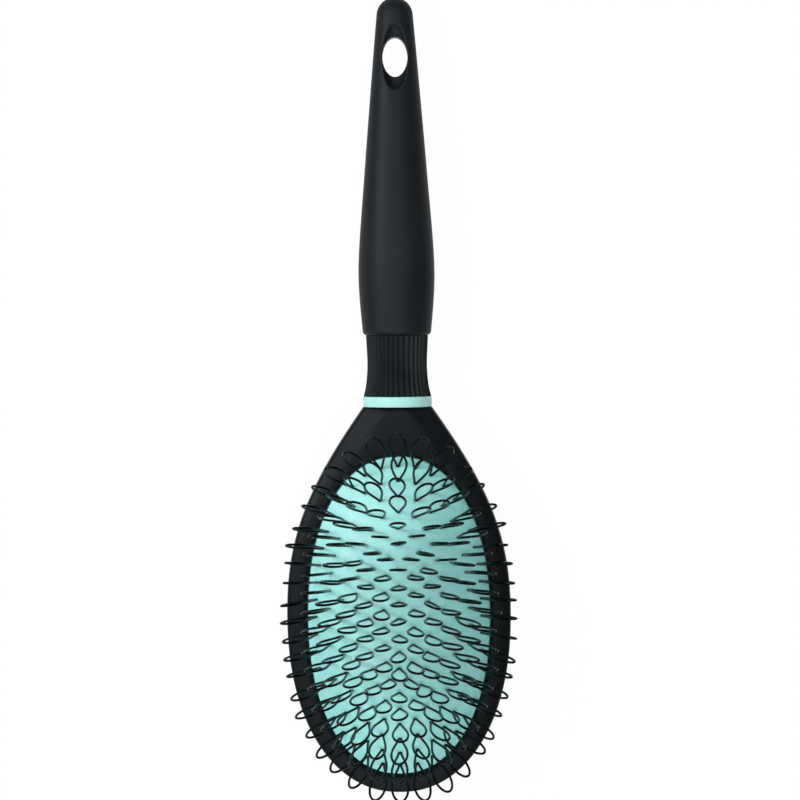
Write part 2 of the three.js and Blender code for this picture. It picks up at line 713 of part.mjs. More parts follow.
function grip() {
  const capStart = GRIP_LENGTH - GRIP_TIP_HALF_WIDTH;
  const side = splineProfile(
    [
      [GRIP_FOOT_HALF_WIDTH, GRIP_FOOT_CHAMFER],
      [GRIP_BELLY_HALF_WIDTH, GRIP_BELLY_AT],
      [GRIP_MIDDLE_HALF_WIDTH, GRIP_MIDDLE_AT],
      [GRIP_EYE_HALF_WIDTH, GRIP_LENGTH - EYE_SETBACK],
      [GRIP_TIP_HALF_WIDTH, capStart],
    ],
    GRIP_LEVELS,
  );
  const cap = Array.from({ length: GRIP_CAP_LEVELS - 1 }, (_, level) => {
    const angle = ((level + 1) / GRIP_CAP_LEVELS) * (Math.PI / 2);
    return [GRIP_TIP_HALF_WIDTH * Math.cos(angle), capStart + GRIP_TIP_HALF_WIDTH * Math.sin(angle)];
  });
  const foot = [GRIP_FOOT_HALF_WIDTH - GRIP_FOOT_CHAMFER, 0];
  const profile = [[0, 0], foot, ...side, ...cap, [0, GRIP_LENGTH]];
  const form = solidOf(turned(profile, GRIP_STEPS, GRIP_FLATNESS, GRIP_Y));
  return cutAll(form, [corePocket(), ...hangingEye()]);
}

// The hanging eye: an oval hole right through, with a scoop round it on both faces.
function hangingEye() {
  const surface = GRIP_EYE_HALF_WIDTH * GRIP_FLATNESS;
  const hole = new THREE.CylinderGeometry(1, 1, 2 * (surface + PAST), 2 * ROUND_STEPS);
  hole.rotateX(Math.PI / 2).scale(EYE_HALF_WIDTH, EYE_HALF_LENGTH, 1).translate(0, EYE_Y, AXIS_Z);
  const scoops = [-1, 1].map((face) => {
    const bowl = new THREE.SphereGeometry(1, 2 * ROUND_STEPS, ROUND_STEPS / 2);
    bowl.scale(SCOOP_HALF_WIDTH, SCOOP_HALF_LENGTH, SCOOP_DEPTH);
    return solidOf(bowl.translate(0, EYE_Y, AXIS_Z + face * surface));
  });
  return [solidOf(hole), ...scoops];
}

// Materials

function material(color, roughness, metalness = 0) {
  return new THREE.MeshStandardMaterial({ color, roughness, metalness });
}

const softBlack = material(0x1c1d1f, 0.6);
const satinBlack = material(0x151617, 0.45);
const ribbedBlack = material(0x121314, 0.65);
const coreGrey = material(0x3b3e41, 0.6);
const mintRubber = material(0x9fe3da, 0.7);
const mintGloss = material(0xb6f0e7, 0.4);
const blackNylon = material(0x0e1011, 0.3);
const steel = material(0xb9bdc1, 0.35, 1);

// The brush

const brush = new THREE.Group();

function add(name, shape, surface) {
  const geometry = shape.isBufferGeometry ? shape : geometryOf(shape);
  const mesh = new THREE.Mesh(geometry, surface);
  mesh.name = name;
  brush.add(mesh);
  return mesh;
}

add("head_back_shell", backShell(), satinBlack);
add("head_front_frame", frontFrame(), satinBlack);
add("cushion_clamp_ring", clampRing(), coreGrey);
add("air_cushion", cushion(), mintRubber);
add("loops_centre", loopField(0, 2), blackNylon);
add("loops_inner", loopField(3, 4), blackNylon);
add("loops_outer", loopField(5, 5), blackNylon);
add("loops_rim", loopField(6, 6), blackNylon);
add("handle_core", handleCore(), coreGrey);
add("accent_ring", accentRing(), mintGloss);
add("neck_sleeve", neckSleeve(), ribbedBlack);
add("grip", grip(), softBlack);

clampScrewPlaces.forEach(({ x, y }, i) => {
  const length = CLAMP_SCREW_TOP_Z - CLAMP_SCREW_SEAT_Z;
  const mesh = add("clamp_screw_" + (i + 1), screw(CLAMP_SCREW, length), steel);
  mesh.rotation.x = Math.PI;
  mesh.position.set(x, y, CLAMP_SCREW_SEAT_Z);
});

["left", "right"].forEach((side, i) => {
  const seat = EAR_TOP_Z + FIT_GAP;
  const mesh = add("core_screw_" + side, screw(EAR_SCREW, seat - EAR_SCREW_TIP_Z), steel);
  mesh.position.set((2 * i - 1) * EAR_SCREW_X, earScrewY, seat);
});

export default brush;
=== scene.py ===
"""The looks of a loop brush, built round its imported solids.

Lengths are metres. The brush lies on its back: +Z is the loop side, +Y runs to the end of the grip,
and the origin is under the middle of the pad.
"""

import math
from typing import NamedTuple

import bmesh
import bpy
import numpy as np
from bpy.props import FloatProperty, FloatVectorProperty, IntProperty, PointerProperty
from bpy.types import Operator, Panel, PropertyGroup
from mathutils import Euler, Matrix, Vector


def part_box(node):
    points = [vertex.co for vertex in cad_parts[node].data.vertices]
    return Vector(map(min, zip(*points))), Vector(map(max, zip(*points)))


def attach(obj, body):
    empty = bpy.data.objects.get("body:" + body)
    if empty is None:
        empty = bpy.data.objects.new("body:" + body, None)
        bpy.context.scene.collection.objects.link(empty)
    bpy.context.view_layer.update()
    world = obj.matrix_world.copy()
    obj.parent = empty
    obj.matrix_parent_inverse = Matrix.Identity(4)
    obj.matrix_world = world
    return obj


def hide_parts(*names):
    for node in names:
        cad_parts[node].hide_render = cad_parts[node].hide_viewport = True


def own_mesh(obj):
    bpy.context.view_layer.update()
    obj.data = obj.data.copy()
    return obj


bl_info = {
    "name": "Loop Brush",
    "version": (1, 0, 0),
    "blender": (4, 5, 0),
    "location": "View3D > Sidebar > Loop Brush",
    "description": "Builds the looks of a loop brush round its packed solids",
    "category": "Add Mesh",
}

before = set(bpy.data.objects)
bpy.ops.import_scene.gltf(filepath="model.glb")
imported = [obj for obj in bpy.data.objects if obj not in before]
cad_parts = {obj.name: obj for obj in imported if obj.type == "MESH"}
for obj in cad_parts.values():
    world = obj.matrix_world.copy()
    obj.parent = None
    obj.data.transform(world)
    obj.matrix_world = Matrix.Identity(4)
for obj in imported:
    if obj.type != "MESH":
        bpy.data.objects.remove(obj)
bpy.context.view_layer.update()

FRAME_LOW, FRAME_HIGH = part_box("head_front_frame")
RING_LOW, RING_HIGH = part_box("accent_ring")
GRIP_LOW, GRIP_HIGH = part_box("grip")

BODY = "brush_body"
# Left free between pieces that would touch.
HAIRLINE = 0.00002
# Height of the handle's axis.
AXIS_Z = 0.0095


def length(name, description, default):
    """A size in metres."""
    return FloatProperty(
        name=name, description=description, default=default, unit="LENGTH", precision=5
    )


def share(name, description, default):
    """A plain number."""
    return FloatProperty(name=name, description=description, default=default, precision=3)


def number(name, description, default):
    """A whole number."""
    return IntProperty(name=name, description=description, default=default)


def degrees(name, description, default):
    """An angle, with its default in degrees."""
    return FloatProperty(
        name=name, description=description, default=math.radians(default), subtype="ANGLE"
    )


def watts(name, description, default):
    """A lamp's power."""
    return FloatProperty(name=name, description=description, default=default, unit="POWER")


def colour(name, description, default):
    """A linear colour."""
    return FloatVectorProperty(
        name=name, description=description, default=default, size=3, subtype="COLOR", min=0, max=1
    )


class HeadSizes(PropertyGroup):
    """The paddle head: frame in front, shell behind, opening for the pad."""

    half_width: length("Half width", "Half of the head's greatest width", FRAME_HIGH.x)
    tip_reach: length("Tip reach", "From the pad's middle to the head's tip", -FRAME_LOW.y)
    neck_reach: length(
        "Neck reach", "From the pad's middle to the neck's end, at the ring", RING_LOW.y - HAIRLINE
    )
    neck_half_width: length("Neck half width", "Half of the neck's width at its end", 0.0109)
    flank_slope: share("Flank slope", "How fast the flank draws in towards the neck", 0.71)
    flank_fullness: share("Flank fullness", "How far the flank keeps to its corner", 0.76)
    oval_power: share("Oval power", "Fullness of the pad's and the tip's oval", 2.18)
    parting_z: length("Parting height", "Height of the joint of frame and shell", FRAME_LOW.z)
    face_z: length("Face height", "Height of the frame's flat face", FRAME_HIGH.z)
    side_slope: share("Side slope", "Steepness of the bevel round the paddle", 0.33)
    neck_slope: share("Neck slope", "Steepness of the bevel beside the arch", 0.42)
    side_dip: length("Side dip", "How far the face falls from the opening to the bevel", 0.0004)
    neck_dip: length("Neck dip", "How far the face falls from the opening to the ring", 0.0012)
    wall_draft: length("Wall draft", "How far the outer wall leans in", 0.0003)
    side_bevel: length("Side bevel", "Width of the bevel round the paddle", 0.0027)
    arch_start: length("Arch start", "Where the face's arch starts to leave the flank", 0.030)
    arch_apex: length("Arch apex", "Where the arch of the face closes", 0.0647)
    pad_half_width: length("Opening half width", "Half of the opening's width", 0.02875)
    pad_half_length: length("Opening half length", "Half of the opening's length", 0.05015)
    edge_chamfer: length("Opening chamfer", "Chamfer round the opening", 0.0009)
    lip: length("Lip", "Thickness of the lip over the pad's flange", 0.0019)
    seat_side: length("Seat at the sides", "Depth of the flange's seat at the sides", 0.0046)
    seat_end: length("Seat at the ends", "Depth of the flange's seat at the ends", 0.0036)
    fit_gap: length("Fit gap", "Clearance between fitted pieces", 0.0003)
    back_round: length("Back round", "How far the back's rounding draws in", 0.012)
    keel_half_width: length("Keel half width", "Half of the flat's width at the neck", 0.0015)
    keel_start: length("Keel start", "Where the back starts to draw in to the keel", 0.040)
    keel_end: length("Keel end", "Where the back has drawn in to the keel", 0.060)
    flat_setback: length("Flat setback", "How far short of the neck the flat ends", 0.018)
    floor: length("Floor", "Thickness of the shell's floor", 0.0022)
    tongue_height: length("Tongue height", "Height of the shell's tongue", 0.0008)
    tongue_thickness: length("Tongue thickness", "Thickness of the shell's tongue", 0.0009)
    vent_radius: length("Vent radius", "Radius of the air vent", 0.0008)
    vent_y: length("Vent place", "Place of the air vent along the head", 0.030)


class CushionSizes(PropertyGroup):
    """The mint air cushion."""

    crown_radius: length("Crown radius", "Radius of the crown across the pad", 0.048)
    ridge_taper: length("Ridge taper", "How much shorter the ridge is than the rim has it", 0.0034)
    rim_gap: length("Rim gap", "Clearance between pad and frame", 0.00025)
    rim_z: length("Rim height", "Height of the crown's rim", 0.0156)
    thickness: length("Thickness", "Thickness of facing and membrane together", 0.0025)
    flange_low: length("Flange underside", "Height of the flange's underside", 0.0130)
    flange_high: length("Flange top", "Height of the flange's top", 0.0143)
    dimple_radius: length("Dimple radius", "Radius of the dimple at a loop's root", 0.0012)
    dimple_depth: length("Dimple depth", "Depth of the dimple at a loop's root", 0.0003)
    press: length("Press", "How far the crown sinks at full press", 0.004)


class LoopSizes(PropertyGroup):
    """The nylon loops."""

    row_pitch: length("Row pitch", "Distance between rows along the crown", 0.0046)
    on_ridge: number("Loops on the ridge", "Loops along the middle line", 7)
    reach: length("Loop length", "Length of a loop above the cushion", 0.0175)
    half_width: length("Loop half width", "Half of a loop's greatest width", 0.0024)
    shoulder: share("Loop shoulder", "Where a loop is widest, as a share of its length", 0.62)
    strand_radius: length("Strand radius", "Radius of the nylon strand", 0.00039)
    root_half_width: length("Root half width", "Half of the legs' distance at the root", 0.00028)
    root_depth: length("Root depth", "How deep the legs go into the cushion", 0.0015)
    ridge_radius: length("Ridge radius", "Radius along the ridge, for the loops' lean", 0.195)
    neck_lean: degrees("Neck lean", "How much more loops lean at the neck, and less at the tip", 4)


class HandleSizes(PropertyGroup):
    """Ring, ribbed sleeve and grip."""

    axis_z: length("Axis height", "Height of the handle's axis", AXIS_Z)
    ring_half_depth: length("Ring half depth", "Half of the ring's depth", RING_HIGH.z - AXIS_Z)
    ring_edge: length("Ring edge", "Rounding of the ring's edges", 0.0004)
    grip_drop: length("Grip drop", "How far the grip's foot reaches over the joint", 0.0005)
    flutes: number("Ribs", "Ribs round the sleeve", 36)
    flute_depth: length("Rib depth", "Depth of the grooves between ribs", 0.0014)
    sleeve_foot: length("Sleeve foot", "Half width of the sleeve at the ring", 0.0107)
    sleeve_flare: length("Sleeve flare", "Half width where the flare ends", 0.00985)
    sleeve_flare_at: length("Flare length", "Length of the sleeve's flare", 0.0038)
    sleeve_waist: length("Sleeve waist", "Half width at the waist", 0.0094)
    sleeve_waist_at: length("Waist place", "Where the waist is", 0.0103)
    sleeve_top: length("Sleeve top", "Half width at the grip", 0.0098)
    grip_foot: length("Grip foot", "Half width of the grip's foot", 0.0108)
    grip_foot_chamfer: length("Foot chamfer", "Chamfer of the grip's foot", 0.0008)
    grip_belly: length("Grip belly", "Half width of the grip's belly", 0.012)
    grip_belly_at: length("Belly place", "Where the belly is", 0.021)
    grip_middle: length("Grip middle", "Half width at the grip's middle", 0.0099)
    grip_middle_at: length("Middle place", "Where the middle is", 0.051)
    grip_eye: length("Grip at the eye", "Half width at the hanging eye", 0.0069)
    grip_tip: length("Grip tip", "Half width where the rounded tip starts", 0.00575)
    eye_setback: length("Eye setback", "From the grip's end to the eye's middle", 0.0188)
    eye_half_width: length("Eye half width", "Half of the eye's width", 0.00395)
    eye_half_length: length("Eye half length", "Half of the eye's length", 0.0063)
    scoop_half_width: length("Scoop half width", "Half of the scoop's width", 0.0041)
    scoop_half_length: length("Scoop half length", "Half of the scoop's length", 0.0105)
    scoop_depth: length("Scoop depth", "Depth of the scoop", 0.0032)
    core_half_width: length("Core half width", "Half width of the pocket for the core", 0.0063)
    core_half_depth: length("Core half depth", "Half depth of the pocket for the core", 0.0038)
    core_tip_half_width: length("Core tip half width", "Half width of the pocket's end", 0.0038)
    core_root: length("Core root", "Where the pocket for the core starts", 0.05485)
    core_taper: length("Core taper", "Where the pocket starts to taper", 0.0956)
    core_tip: length("Core tip", "Where the pocket for the core ends", 0.1599)


class Finishes(PropertyGroup):
    """Colours, as they are written in linear light."""

    soft_black: colour("Grip", "Soft-touch black of the grip", (0.0058, 0.0070, 0.0084))
    satin_black: colour("Head", "Satin black of frame and shell", (0.0040, 0.0050, 0.0058))
    ribbed_black: colour("Sleeve", "Rubber black of the sleeve", (0.0120, 0.0144, 0.0153))
    mint_rubber: colour("Cushion", "Mint of the cushion", (0.338, 0.835, 0.798))
    mint_gloss: colour("Ring", "Mint of the ring", (0.330, 0.625, 0.595))
    black_nylon: colour("Loops", "Black of the nylon", (0.0010, 0.0015, 0.0017))
    core_grey: colour("Core", "Grey of the hidden plastic pieces", (0.044, 0.048, 0.052))
    screw_steel: colour("Screws", "Steel of the hidden screws", (0.50, 0.52, 0.54))


class StageSizes(PropertyGroup):
    """Camera, lamps and floor."""

    distance: length("Camera distance", "From the camera to what it looks at", 0.80)
    tilt: degrees("Camera tilt", "Lean of the view from straight down", 1.9)
    roll: degrees("Camera roll", "Turn of the picture", -0.42)
    lens: share("Lens", "Focal length in millimetres on a 36 mm sensor", 114.3)
    target_x: length("Target x", "What the camera looks at, across", 0.0010)
    target_y: length("Target y", "What the camera looks at, along", 0.0677)
    top_power: watts("Top lamp", "Power of the lamp overhead", 15.6)
    side_power: watts("Side lamp", "Power of the lamp on the left", 4.4)
    tip_power: watts("Tip lamp", "Power of the lamp beyond the tip", 3.0)
    sky: share("Sky", "Strength of the light from all round", 0.25)
    floor_glow: share("Floor glow", "Share of plain white in the floor's look", 0.97)


class BrushSettings(PropertyGroup):
    """Everything a user would change."""

    head: PointerProperty(type=HeadSizes)
    cushion: PointerProperty(type=CushionSizes)
    loops: PointerProperty(type=LoopSizes)
    handle: PointerProperty(type=HandleSizes)
    finish: PointerProperty(type=Finishes)
    stage: PointerProperty(type=StageSizes)


# Points

FLANK_POINTS = 64
NECK_POINTS = 25
TIP_POINTS = 132
# Keeps a run of no length from dividing by nothing.
SMALL = 1e-9
# A rounding takes at most this share of the shorter run beside its edge.
ROUND_LIMIT = 0.42


def smoothstep(value, low, high):
    t = np.clip((value - low) / (high - low), 0, 1)
    return t * t * (3 - 2 * t)


def signed_power(value, power):
    return np.sign(value) * np.abs(value) ** power


def oval(half_width, half_length, turn, power):
    """Points of a superellipse at these turns."""
    x = half_width * signed_power(np.cos(turn), 2 / power)
    y = half_length * signed_power(np.sin(turn), 2 / power)
    return np.stack([x, y], axis=-1)


def at_height(flat, z):
    """Flat points, lifted to one height or to one each."""
    return np.column_stack([flat, np.broadcast_to(z, len(flat))])


def spline(knots, count):
    """A smooth line through the knots, with as many points."""
    knots = np.array(knots, float)
    place = np.linspace(0, len(knots) - 1, count)
    first = np.minimum(place.astype(int), len(knots) - 2)
    t = (place - first)[:, None]
    before = knots[np.maximum(first - 1, 0)]
    start = knots[first]
    end = knots[first + 1]
    after = knots[np.minimum(first + 2, len(knots) - 1)]
    lead = (end - before) / 2
    trail = (after - start) / 2
    return (
        (2 * start - 2 * end + lead + trail) * t**3
        + (-3 * start + 3 * end - 2 * lead - trail) * t**2
        + lead * t
        + start
    )


def bezier(handles, count):
    """Points of a cubic curve with these four handles."""
    t = np.linspace(0, 1, count)[:, None]
    weights = [(1 - t) ** 3, 3 * t * (1 - t) ** 2, 3 * t**2 * (1 - t), t**3]
    return sum(w * h for w, h in zip(weights, np.array(handles)))


def flank(head):
    """The head's right flank, from the widest point to the neck's end."""
    drawn_in = head.half_width - head.neck_half_width
    reach = head.neck_reach
    corner = reach - drawn_in / head.flank_slope
    full = head.flank_fullness
    handles = [
        [head.half_width, 0],
        [head.half_width, full * corner],
        [head.neck_half_width + full * drawn_in, reach - full * (reach - corner)],
        [head.neck_half_width, reach],
    ]
    return bezier(handles, FLANK_POINTS)


def head_flat(head, side=0.0, neck=0.0, setback=0.0):
    """The head's outline, drawn in by one amount round the paddle and another at the neck."""
    right = flank(head)
    blend = smoothstep(right[:, 1], head.keel_start, head.keel_end)
    right[:, 0] -= side + (neck - side) * blend
    right[:, 1] *= 1 - setback / head.neck_reach
    left = (right * [-1, 1])[::-1]
    across = np.linspace(1, -1, NECK_POINTS + 2)[1:-1]
    end = np.column_stack([across * right[-1, 0], np.full(NECK_POINTS, right[-1, 1])])
    turn = math.pi * (1 + np.arange(1, TIP_POINTS) / TIP_POINTS)
    tip = oval(head.half_width - side, head.tip_reach - side, turn, head.oval_power)
    return np.concatenate([right, end, left, tip])


def towards_neck(head, side, neck):
    """A value round the paddle that turns into another at the neck, for each outline point."""
    along = head_flat(head)[:, 1]
    return side + (neck - side) * smoothstep(along, head.arch_start, head.keel_end)


# Half widths and places of the arch, from the flank to the apex.
# The last but one faces the neck's corner.
ARCH_KNOTS = (
    (0.0203, 0.0458),
    (0.0141, 0.0528),
    (0.0098, 0.0575),
    (0.0059, 0.0617),
    (0.0031, 0.0642),
)
ARCH_STEPS = 40
# Where the arch still runs beside the flank.
ARCH_LEAVES = 0.037


def face_flat(head):
    """The outline of the frame's flat face, which closes in an arch at the neck."""
    flat = head_flat(head, head.side_bevel, head.side_bevel)
    outline = head_flat(head)
    above = np.flatnonzero(outline[:, 1] >= head.arch_start)
    first, last = above[0], above[-1]
    half = [flat[first], flat[np.argmax(outline[:, 1] >= ARCH_LEAVES)], *ARCH_KNOTS]
    knots = [*half, (0, head.arch_apex), *[(-x, y) for x, y in reversed(half)]]
    arch = spline(knots, (len(knots) - 1) * ARCH_STEPS + 1)
    corner = (len(half) - 2) * ARCH_STEPS
    far_corner = len(arch) - 1 - corner
    right = FLANK_POINTS - 1
    left = FLANK_POINTS + NECK_POINTS
    for low, high, line in (
        (first, right, arch[: corner + 1]),
        (right, left, arch[corner : far_corner + 1]),
        (left, last, arch[far_corner:]),
    ):
        flat[low : high + 1] = follow(line, outline[low : high + 1])
    return flat


def follow(line, guide):
    """Points of a line, spaced as the points of a guide are."""
    want = run_share(guide)
    have = run_share(line)
    return np.column_stack([np.interp(want, have, line[:, axis]) for axis in (0, 1)])


def run_share(line):
    """How far along a line each of its points is, from 0 to 1."""
    run = np.concatenate([[0], np.cumsum(np.linalg.norm(np.diff(line, axis=0), axis=1))])
    return run / run[-1]


def pad_ring(head, side, end, z):
    """The opening's oval at one height, grown at sides and ends, seen from the outline's points."""
    flat = head_flat(head)
    halves = [head.pad_half_width + side, head.pad_half_length + end]
    power = head.oval_power
    reach = (np.abs(flat / halves) ** power).sum(axis=1)
    return at_height(flat * (reach ** (-1 / power))[:, None], z)


def back_levels(count):
    """The back's rounding: how far it has drawn in and how high it is, from the flat up."""
    angle = (1 - np.arange(count + 1) / count) * (math.pi / 2)
    return list(zip(1 - np.cos(angle), 1 - np.sin(angle)))


def rounded(rings, radii, steps):
    """Rounds the edges along rings that close on themselves, one radius for each ring."""
    out = []
    for i, (ring, radius) in enumerate(zip(rings, radii)):
        if radius <= 0:
            out.append(ring)
            continue
        before = rings[i - 1] - ring
        after = rings[(i + 1) % len(rings)] - ring
        before_run = np.linalg.norm(before, axis=1, keepdims=True)
        after_run = np.linalg.norm(after, axis=1, keepdims=True)
        cut_back = np.minimum(radius, ROUND_LIMIT * np.minimum(before_run, after_run))
        start = ring + before / (before_run + SMALL) * cut_back
        end = ring + after / (after_run + SMALL) * cut_back
        for t in np.linspace(0, 1, steps + 1):
            out.append((1 - t) ** 2 * start + 2 * t * (1 - t) * ring + t**2 * end)
    return out


# Meshes

# Points nearer than this are merged, and edges shorter than the next are dissolved.
MERGE_DISTANCE = 1e-7
DISSOLVE_DISTANCE = 1e-8
# Edges sharper than these stay sharp.
SHARP_ANGLE = math.radians(40)
RIB_SHARP_ANGLE = math.radians(60)
# How far a cutter passes the faces that it cuts.
CUT_PAST = 0.001


def add_object(name, data):
    """A new object in the scene, of this mesh, lamp or camera."""
    made = bpy.data.objects.new(name, data)
    bpy.context.scene.collection.objects.link(made)
    return made


def new_piece(name, points, faces):
    """A smooth mesh object of these points and faces, closed and facing out."""
    mesh = bpy.data.meshes.new(name)
    mesh.from_pydata([tuple(p) for p in points], [], faces)
    shape = bmesh.new()
    shape.from_mesh(mesh)
    bmesh.ops.remove_doubles(shape, verts=shape.verts, dist=MERGE_DISTANCE)
    bmesh.ops.dissolve_degenerate(shape, edges=shape.edges, dist=DISSOLVE_DISTANCE)
    bmesh.ops.recalc_face_normals(shape, faces=shape.faces)
    shape.to_mesh(mesh)
    shape.free()
    mesh.shade_smooth()
    return add_object(name, mesh)


def ring_faces(levels, count, wrap=False):
    """The faces between equal rings, which close on themselves or have flat ends."""
    faces = []
    for level in range(levels if wrap else levels - 1):
        low = level * count
        high = ((level + 1) % levels) * count
        for i in range(count):
            after = (i + 1) % count
            faces.append((low + i, low + after, high + after, high + i))
    if not wrap:
        top = (levels - 1) * count
        faces.append(tuple(range(count))[::-1])
        faces.append(tuple(range(top, top + count)))
    return faces


def ring_piece(name, rings, wrap=False):
    """A piece of equal rings."""
    return new_piece(name, np.concatenate(rings), ring_faces(len(rings), len(rings[0]), wrap))


def apply_modifiers(piece):
    """Makes what the modifiers show the piece's own mesh."""
    graph = bpy.context.evaluated_depsgraph_get()
    made = bpy.data.meshes.new_from_object(piece.evaluated_get(graph))
    old = piece.data
    piece.modifiers.clear()
    piece.data = made
    made.name = piece.name
    bpy.data.meshes.remove(old)


def cut(piece, *cutters):
    """Takes the cutters' shapes out of a piece and removes them."""
    for cutter in cutters:
        tool = piece.modifiers.new("cut", "BOOLEAN")
        tool.operation = "DIFFERENCE"
        tool.solver = "EXACT"
        tool.object = cutter
        bpy.context.view_layer.update()
        apply_modifiers(piece)
        mesh = cutter.data
        bpy.data.objects.remove(cutter)
        bpy.data.meshes.remove(mesh)
    piece.data.shade_smooth()


def steady_normals(piece, angle):
    """Keeps broad faces flat beside their rounded edges."""
    piece.data.set_sharp_from_angle(angle=angle)
    normals = piece.modifiers.new("normals", "WEIGHTED_NORMAL")
    normals.mode = "FACE_AREA"
    normals.keep_sharp = True


def bar(flat, low, high):
    """An upright bar of this outline, as a cutter."""
    return ring_piece("bar", [at_height(flat, low), at_height(flat, high)])


def core_pocket(handle):
    """The pocket that the handle's core fills, as a cutter."""
    outline = np.array([
        [-handle.core_half_width, handle.core_root],
        [handle.core_half_width, handle.core_root],
        [handle.core_half_width, handle.core_taper],
        [handle.core_tip_half_width, handle.core_tip],
        [-handle.core_tip_half_width, handle.core_tip],
        [-handle.core_half_width, handle.core_taper],
    ])
    half_depth = handle.core_half_depth
    return bar(outline, handle.axis_z - half_depth, handle.axis_z + half_depth)


def full_turn(sides):
    """Even turns round a circle."""
    return 2 * math.pi * np.arange(sides) / sides


def turned(name, profile, sides, flatness, foot, axis_z):
    """A form about the handle's axis, flatter in depth.

    Its profile is half widths along the axis, each one number or one for every side.
    """
    turn = full_turn(sides)
    rings = []
    for radius, along in profile:
        rings.append(np.column_stack([
            radius * np.sin(turn),
            np.full(sides, foot + along),
            axis_z + radius * np.cos(turn) * flatness,
        ]))
    return ring_piece(name, rings)


# Finishes


class Nodes:
    """Short ways to add a material's nodes."""

    def __init__(self, name):
        self.material = bpy.data.materials.new(name)
        self.material.use_nodes = True
        self.tree = self.material.node_tree
        self.surface = self.tree.nodes["Principled BSDF"]
        self.place = self.add("ShaderNodeTexCoord").outputs["Object"]

    def add(self, kind, sockets=(), **values):
        node = self.tree.nodes.new(kind)
        for key, value in values.items():
            setattr(node, key, value)
        self.fill(node, dict(sockets))
        return node

    def fill(self, node, sockets):
        """Joins each socket to another node's output, or sets it to a plain value."""
        for socket, value in sockets.items():
            if isinstance(value, bpy.types.NodeSocket):
                self.tree.links.new(value, node.inputs[socket])
            else:
                node.inputs[socket].default_value = value

    def noise(self, size, detail, roughness=0.5):
        """Grain of about this size, in metres."""
        sockets = {"Scale": 1 / size, "Detail": detail, "Roughness": roughness}
        return self.add("ShaderNodeTexNoise", {"Vector": self.place, **sockets}).outputs["Fac"]

    def ramp(self, value, low, high, low_at=0.35, high_at=0.65):
        """A colour between two, by a value."""
        node = self.add("ShaderNodeValToRGB", {"Fac": value})
        for stop, tint, at in zip(node.color_ramp.elements, (low, high), (low_at, high_at)):
            stop.position = at
            stop.color = (*tint, 1)
        return node.outputs["Color"]

    def range(self, value, low, high):
        """A number between two, by a value from 0 to 1."""
        sockets = {"Value": value, "To Min": low, "To Max": high}
        return self.add("ShaderNodeMapRange", sockets).outputs["Result"]

    def maths(self, operation, first, second):
        node = self.add("ShaderNodeMath", {0: first, 1: second}, operation=operation)
        return node.outputs["Value"]

    def bump(self, height, depth, strength):
        """Relief of this depth, in metres."""
        sockets = {"Height": height, "Distance": depth, "Strength": strength}
        return self.add("ShaderNodeBump", sockets).outputs["Normal"]


def shade(tint, factor):
    return tuple(min(1.0, c * factor) for c in tint)


COOL_GLEAM = (0.86, 0.96, 1.0)


class Surface(NamedTuple):
    """How a plain finish varies over a piece."""

    mottle: tuple  # size and detail of the slow changes in tint and gloss
    tints: tuple  # least and greatest share of the colour
    rough: tuple  # least and greatest roughness
    relief: tuple  # depth and strength of the relief
    grain: tuple = ()  # size, detail and roughness of the relief, where it isn't the mottle's
    specular: float = 0.5
    gleam: tuple = (1, 1, 1)
    metallic: float = 0.0


SURFACES = {
    # Soft-touch coating: broad dull sheen, very fine grain, faint handling marks
    "soft_black": Surface(
        mottle=(0.018, 4), tints=(0.9, 1.15), rough=(0.44, 0.52), relief=(0.00004, 0.35),
        grain=(0.00035, 2), specular=0.14, gleam=COOL_GLEAM,
    ),
    # Satin moulding: fine spark texture, a little uneven gloss
    "satin_black": Surface(
        mottle=(0.022, 3), tints=(0.92, 1.12), rough=(0.34, 0.42), relief=(0.00003, 0.3),
        grain=(0.00022, 2, 0.7), specular=0.09, gleam=COOL_GLEAM,
    ),
    # Dull rubber with a dry grain
    "ribbed_black": Surface(
        mottle=(0.009, 4), tints=(0.85, 1.25), rough=(0.36, 0.46), relief=(0.00004, 0.4),
        grain=(0.0003, 3), specular=0.07, gleam=COOL_GLEAM,
    ),
    # Smooth mint plastic with faint moulding flow
    "mint_gloss": Surface(
        mottle=(0.006, 3), tints=(0.95, 1.04), rough=(0.30, 0.40), relief=(0.00002, 0.2),
        specular=0.25,
    ),
    # Drawn nylon strand: dark, smooth, with a soft gleam
    "black_nylon": Surface(
        mottle=(0.0011, 2), tints=(0.8, 1.4), rough=(0.12, 0.20), relief=(0.00002, 0.25),
        specular=0.12,
    ),
    # Plain grey moulding of the hidden pieces
    "core_grey": Surface(
        mottle=(0.008, 4), tints=(0.88, 1.15), rough=(0.48, 0.60), relief=(0.00005, 0.25),
        specular=0.4,
    ),
    # Zinc-bright steel with fine turning marks
    "screw_steel": Surface(
        mottle=(0.0005, 3), tints=(0.85, 1.1), rough=(0.28, 0.42), relief=(0.00002, 0.3),
        metallic=1.0,
    ),
}


def plain_finish(name, tint, surface):
    """A finish of one colour, a little uneven in tint and gloss, with a fine relief."""
    nodes = Nodes(name)
    mottle = nodes.noise(*surface.mottle)
    grain = nodes.noise(*surface.grain) if surface.grain else mottle
    nodes.fill(nodes.surface, {
        "Base Color": nodes.ramp(mottle, *(shade(tint, factor) for factor in surface.tints)),
        "Roughness": nodes.range(mottle, *surface.rough),
        "Normal": nodes.bump(grain, *surface.relief),
        "Specular IOR Level": surface.specular,
        "Specular Tint": (*surface.gleam, 1),
        "Metallic": surface.metallic,
    })
    return nodes.material


WEAVE_PITCH = 0.00078
WEAVE_TURNS = (math.radians(38), math.radians(-52))
THREAD_WOBBLE = 0.6
# Share of the mint in the weave's grooves and on the threads' tops; the darker grooves are painted
# shade.
WEAVE_GROOVE_SHADE = (0.88, 1.05)
FUZZ_SIZE = 0.0006
FUZZ_SHARE = 0.25
# Distance between the wave texture's bands at a scale of 1.
WAVE_PERIOD = 2 * math.pi / 20


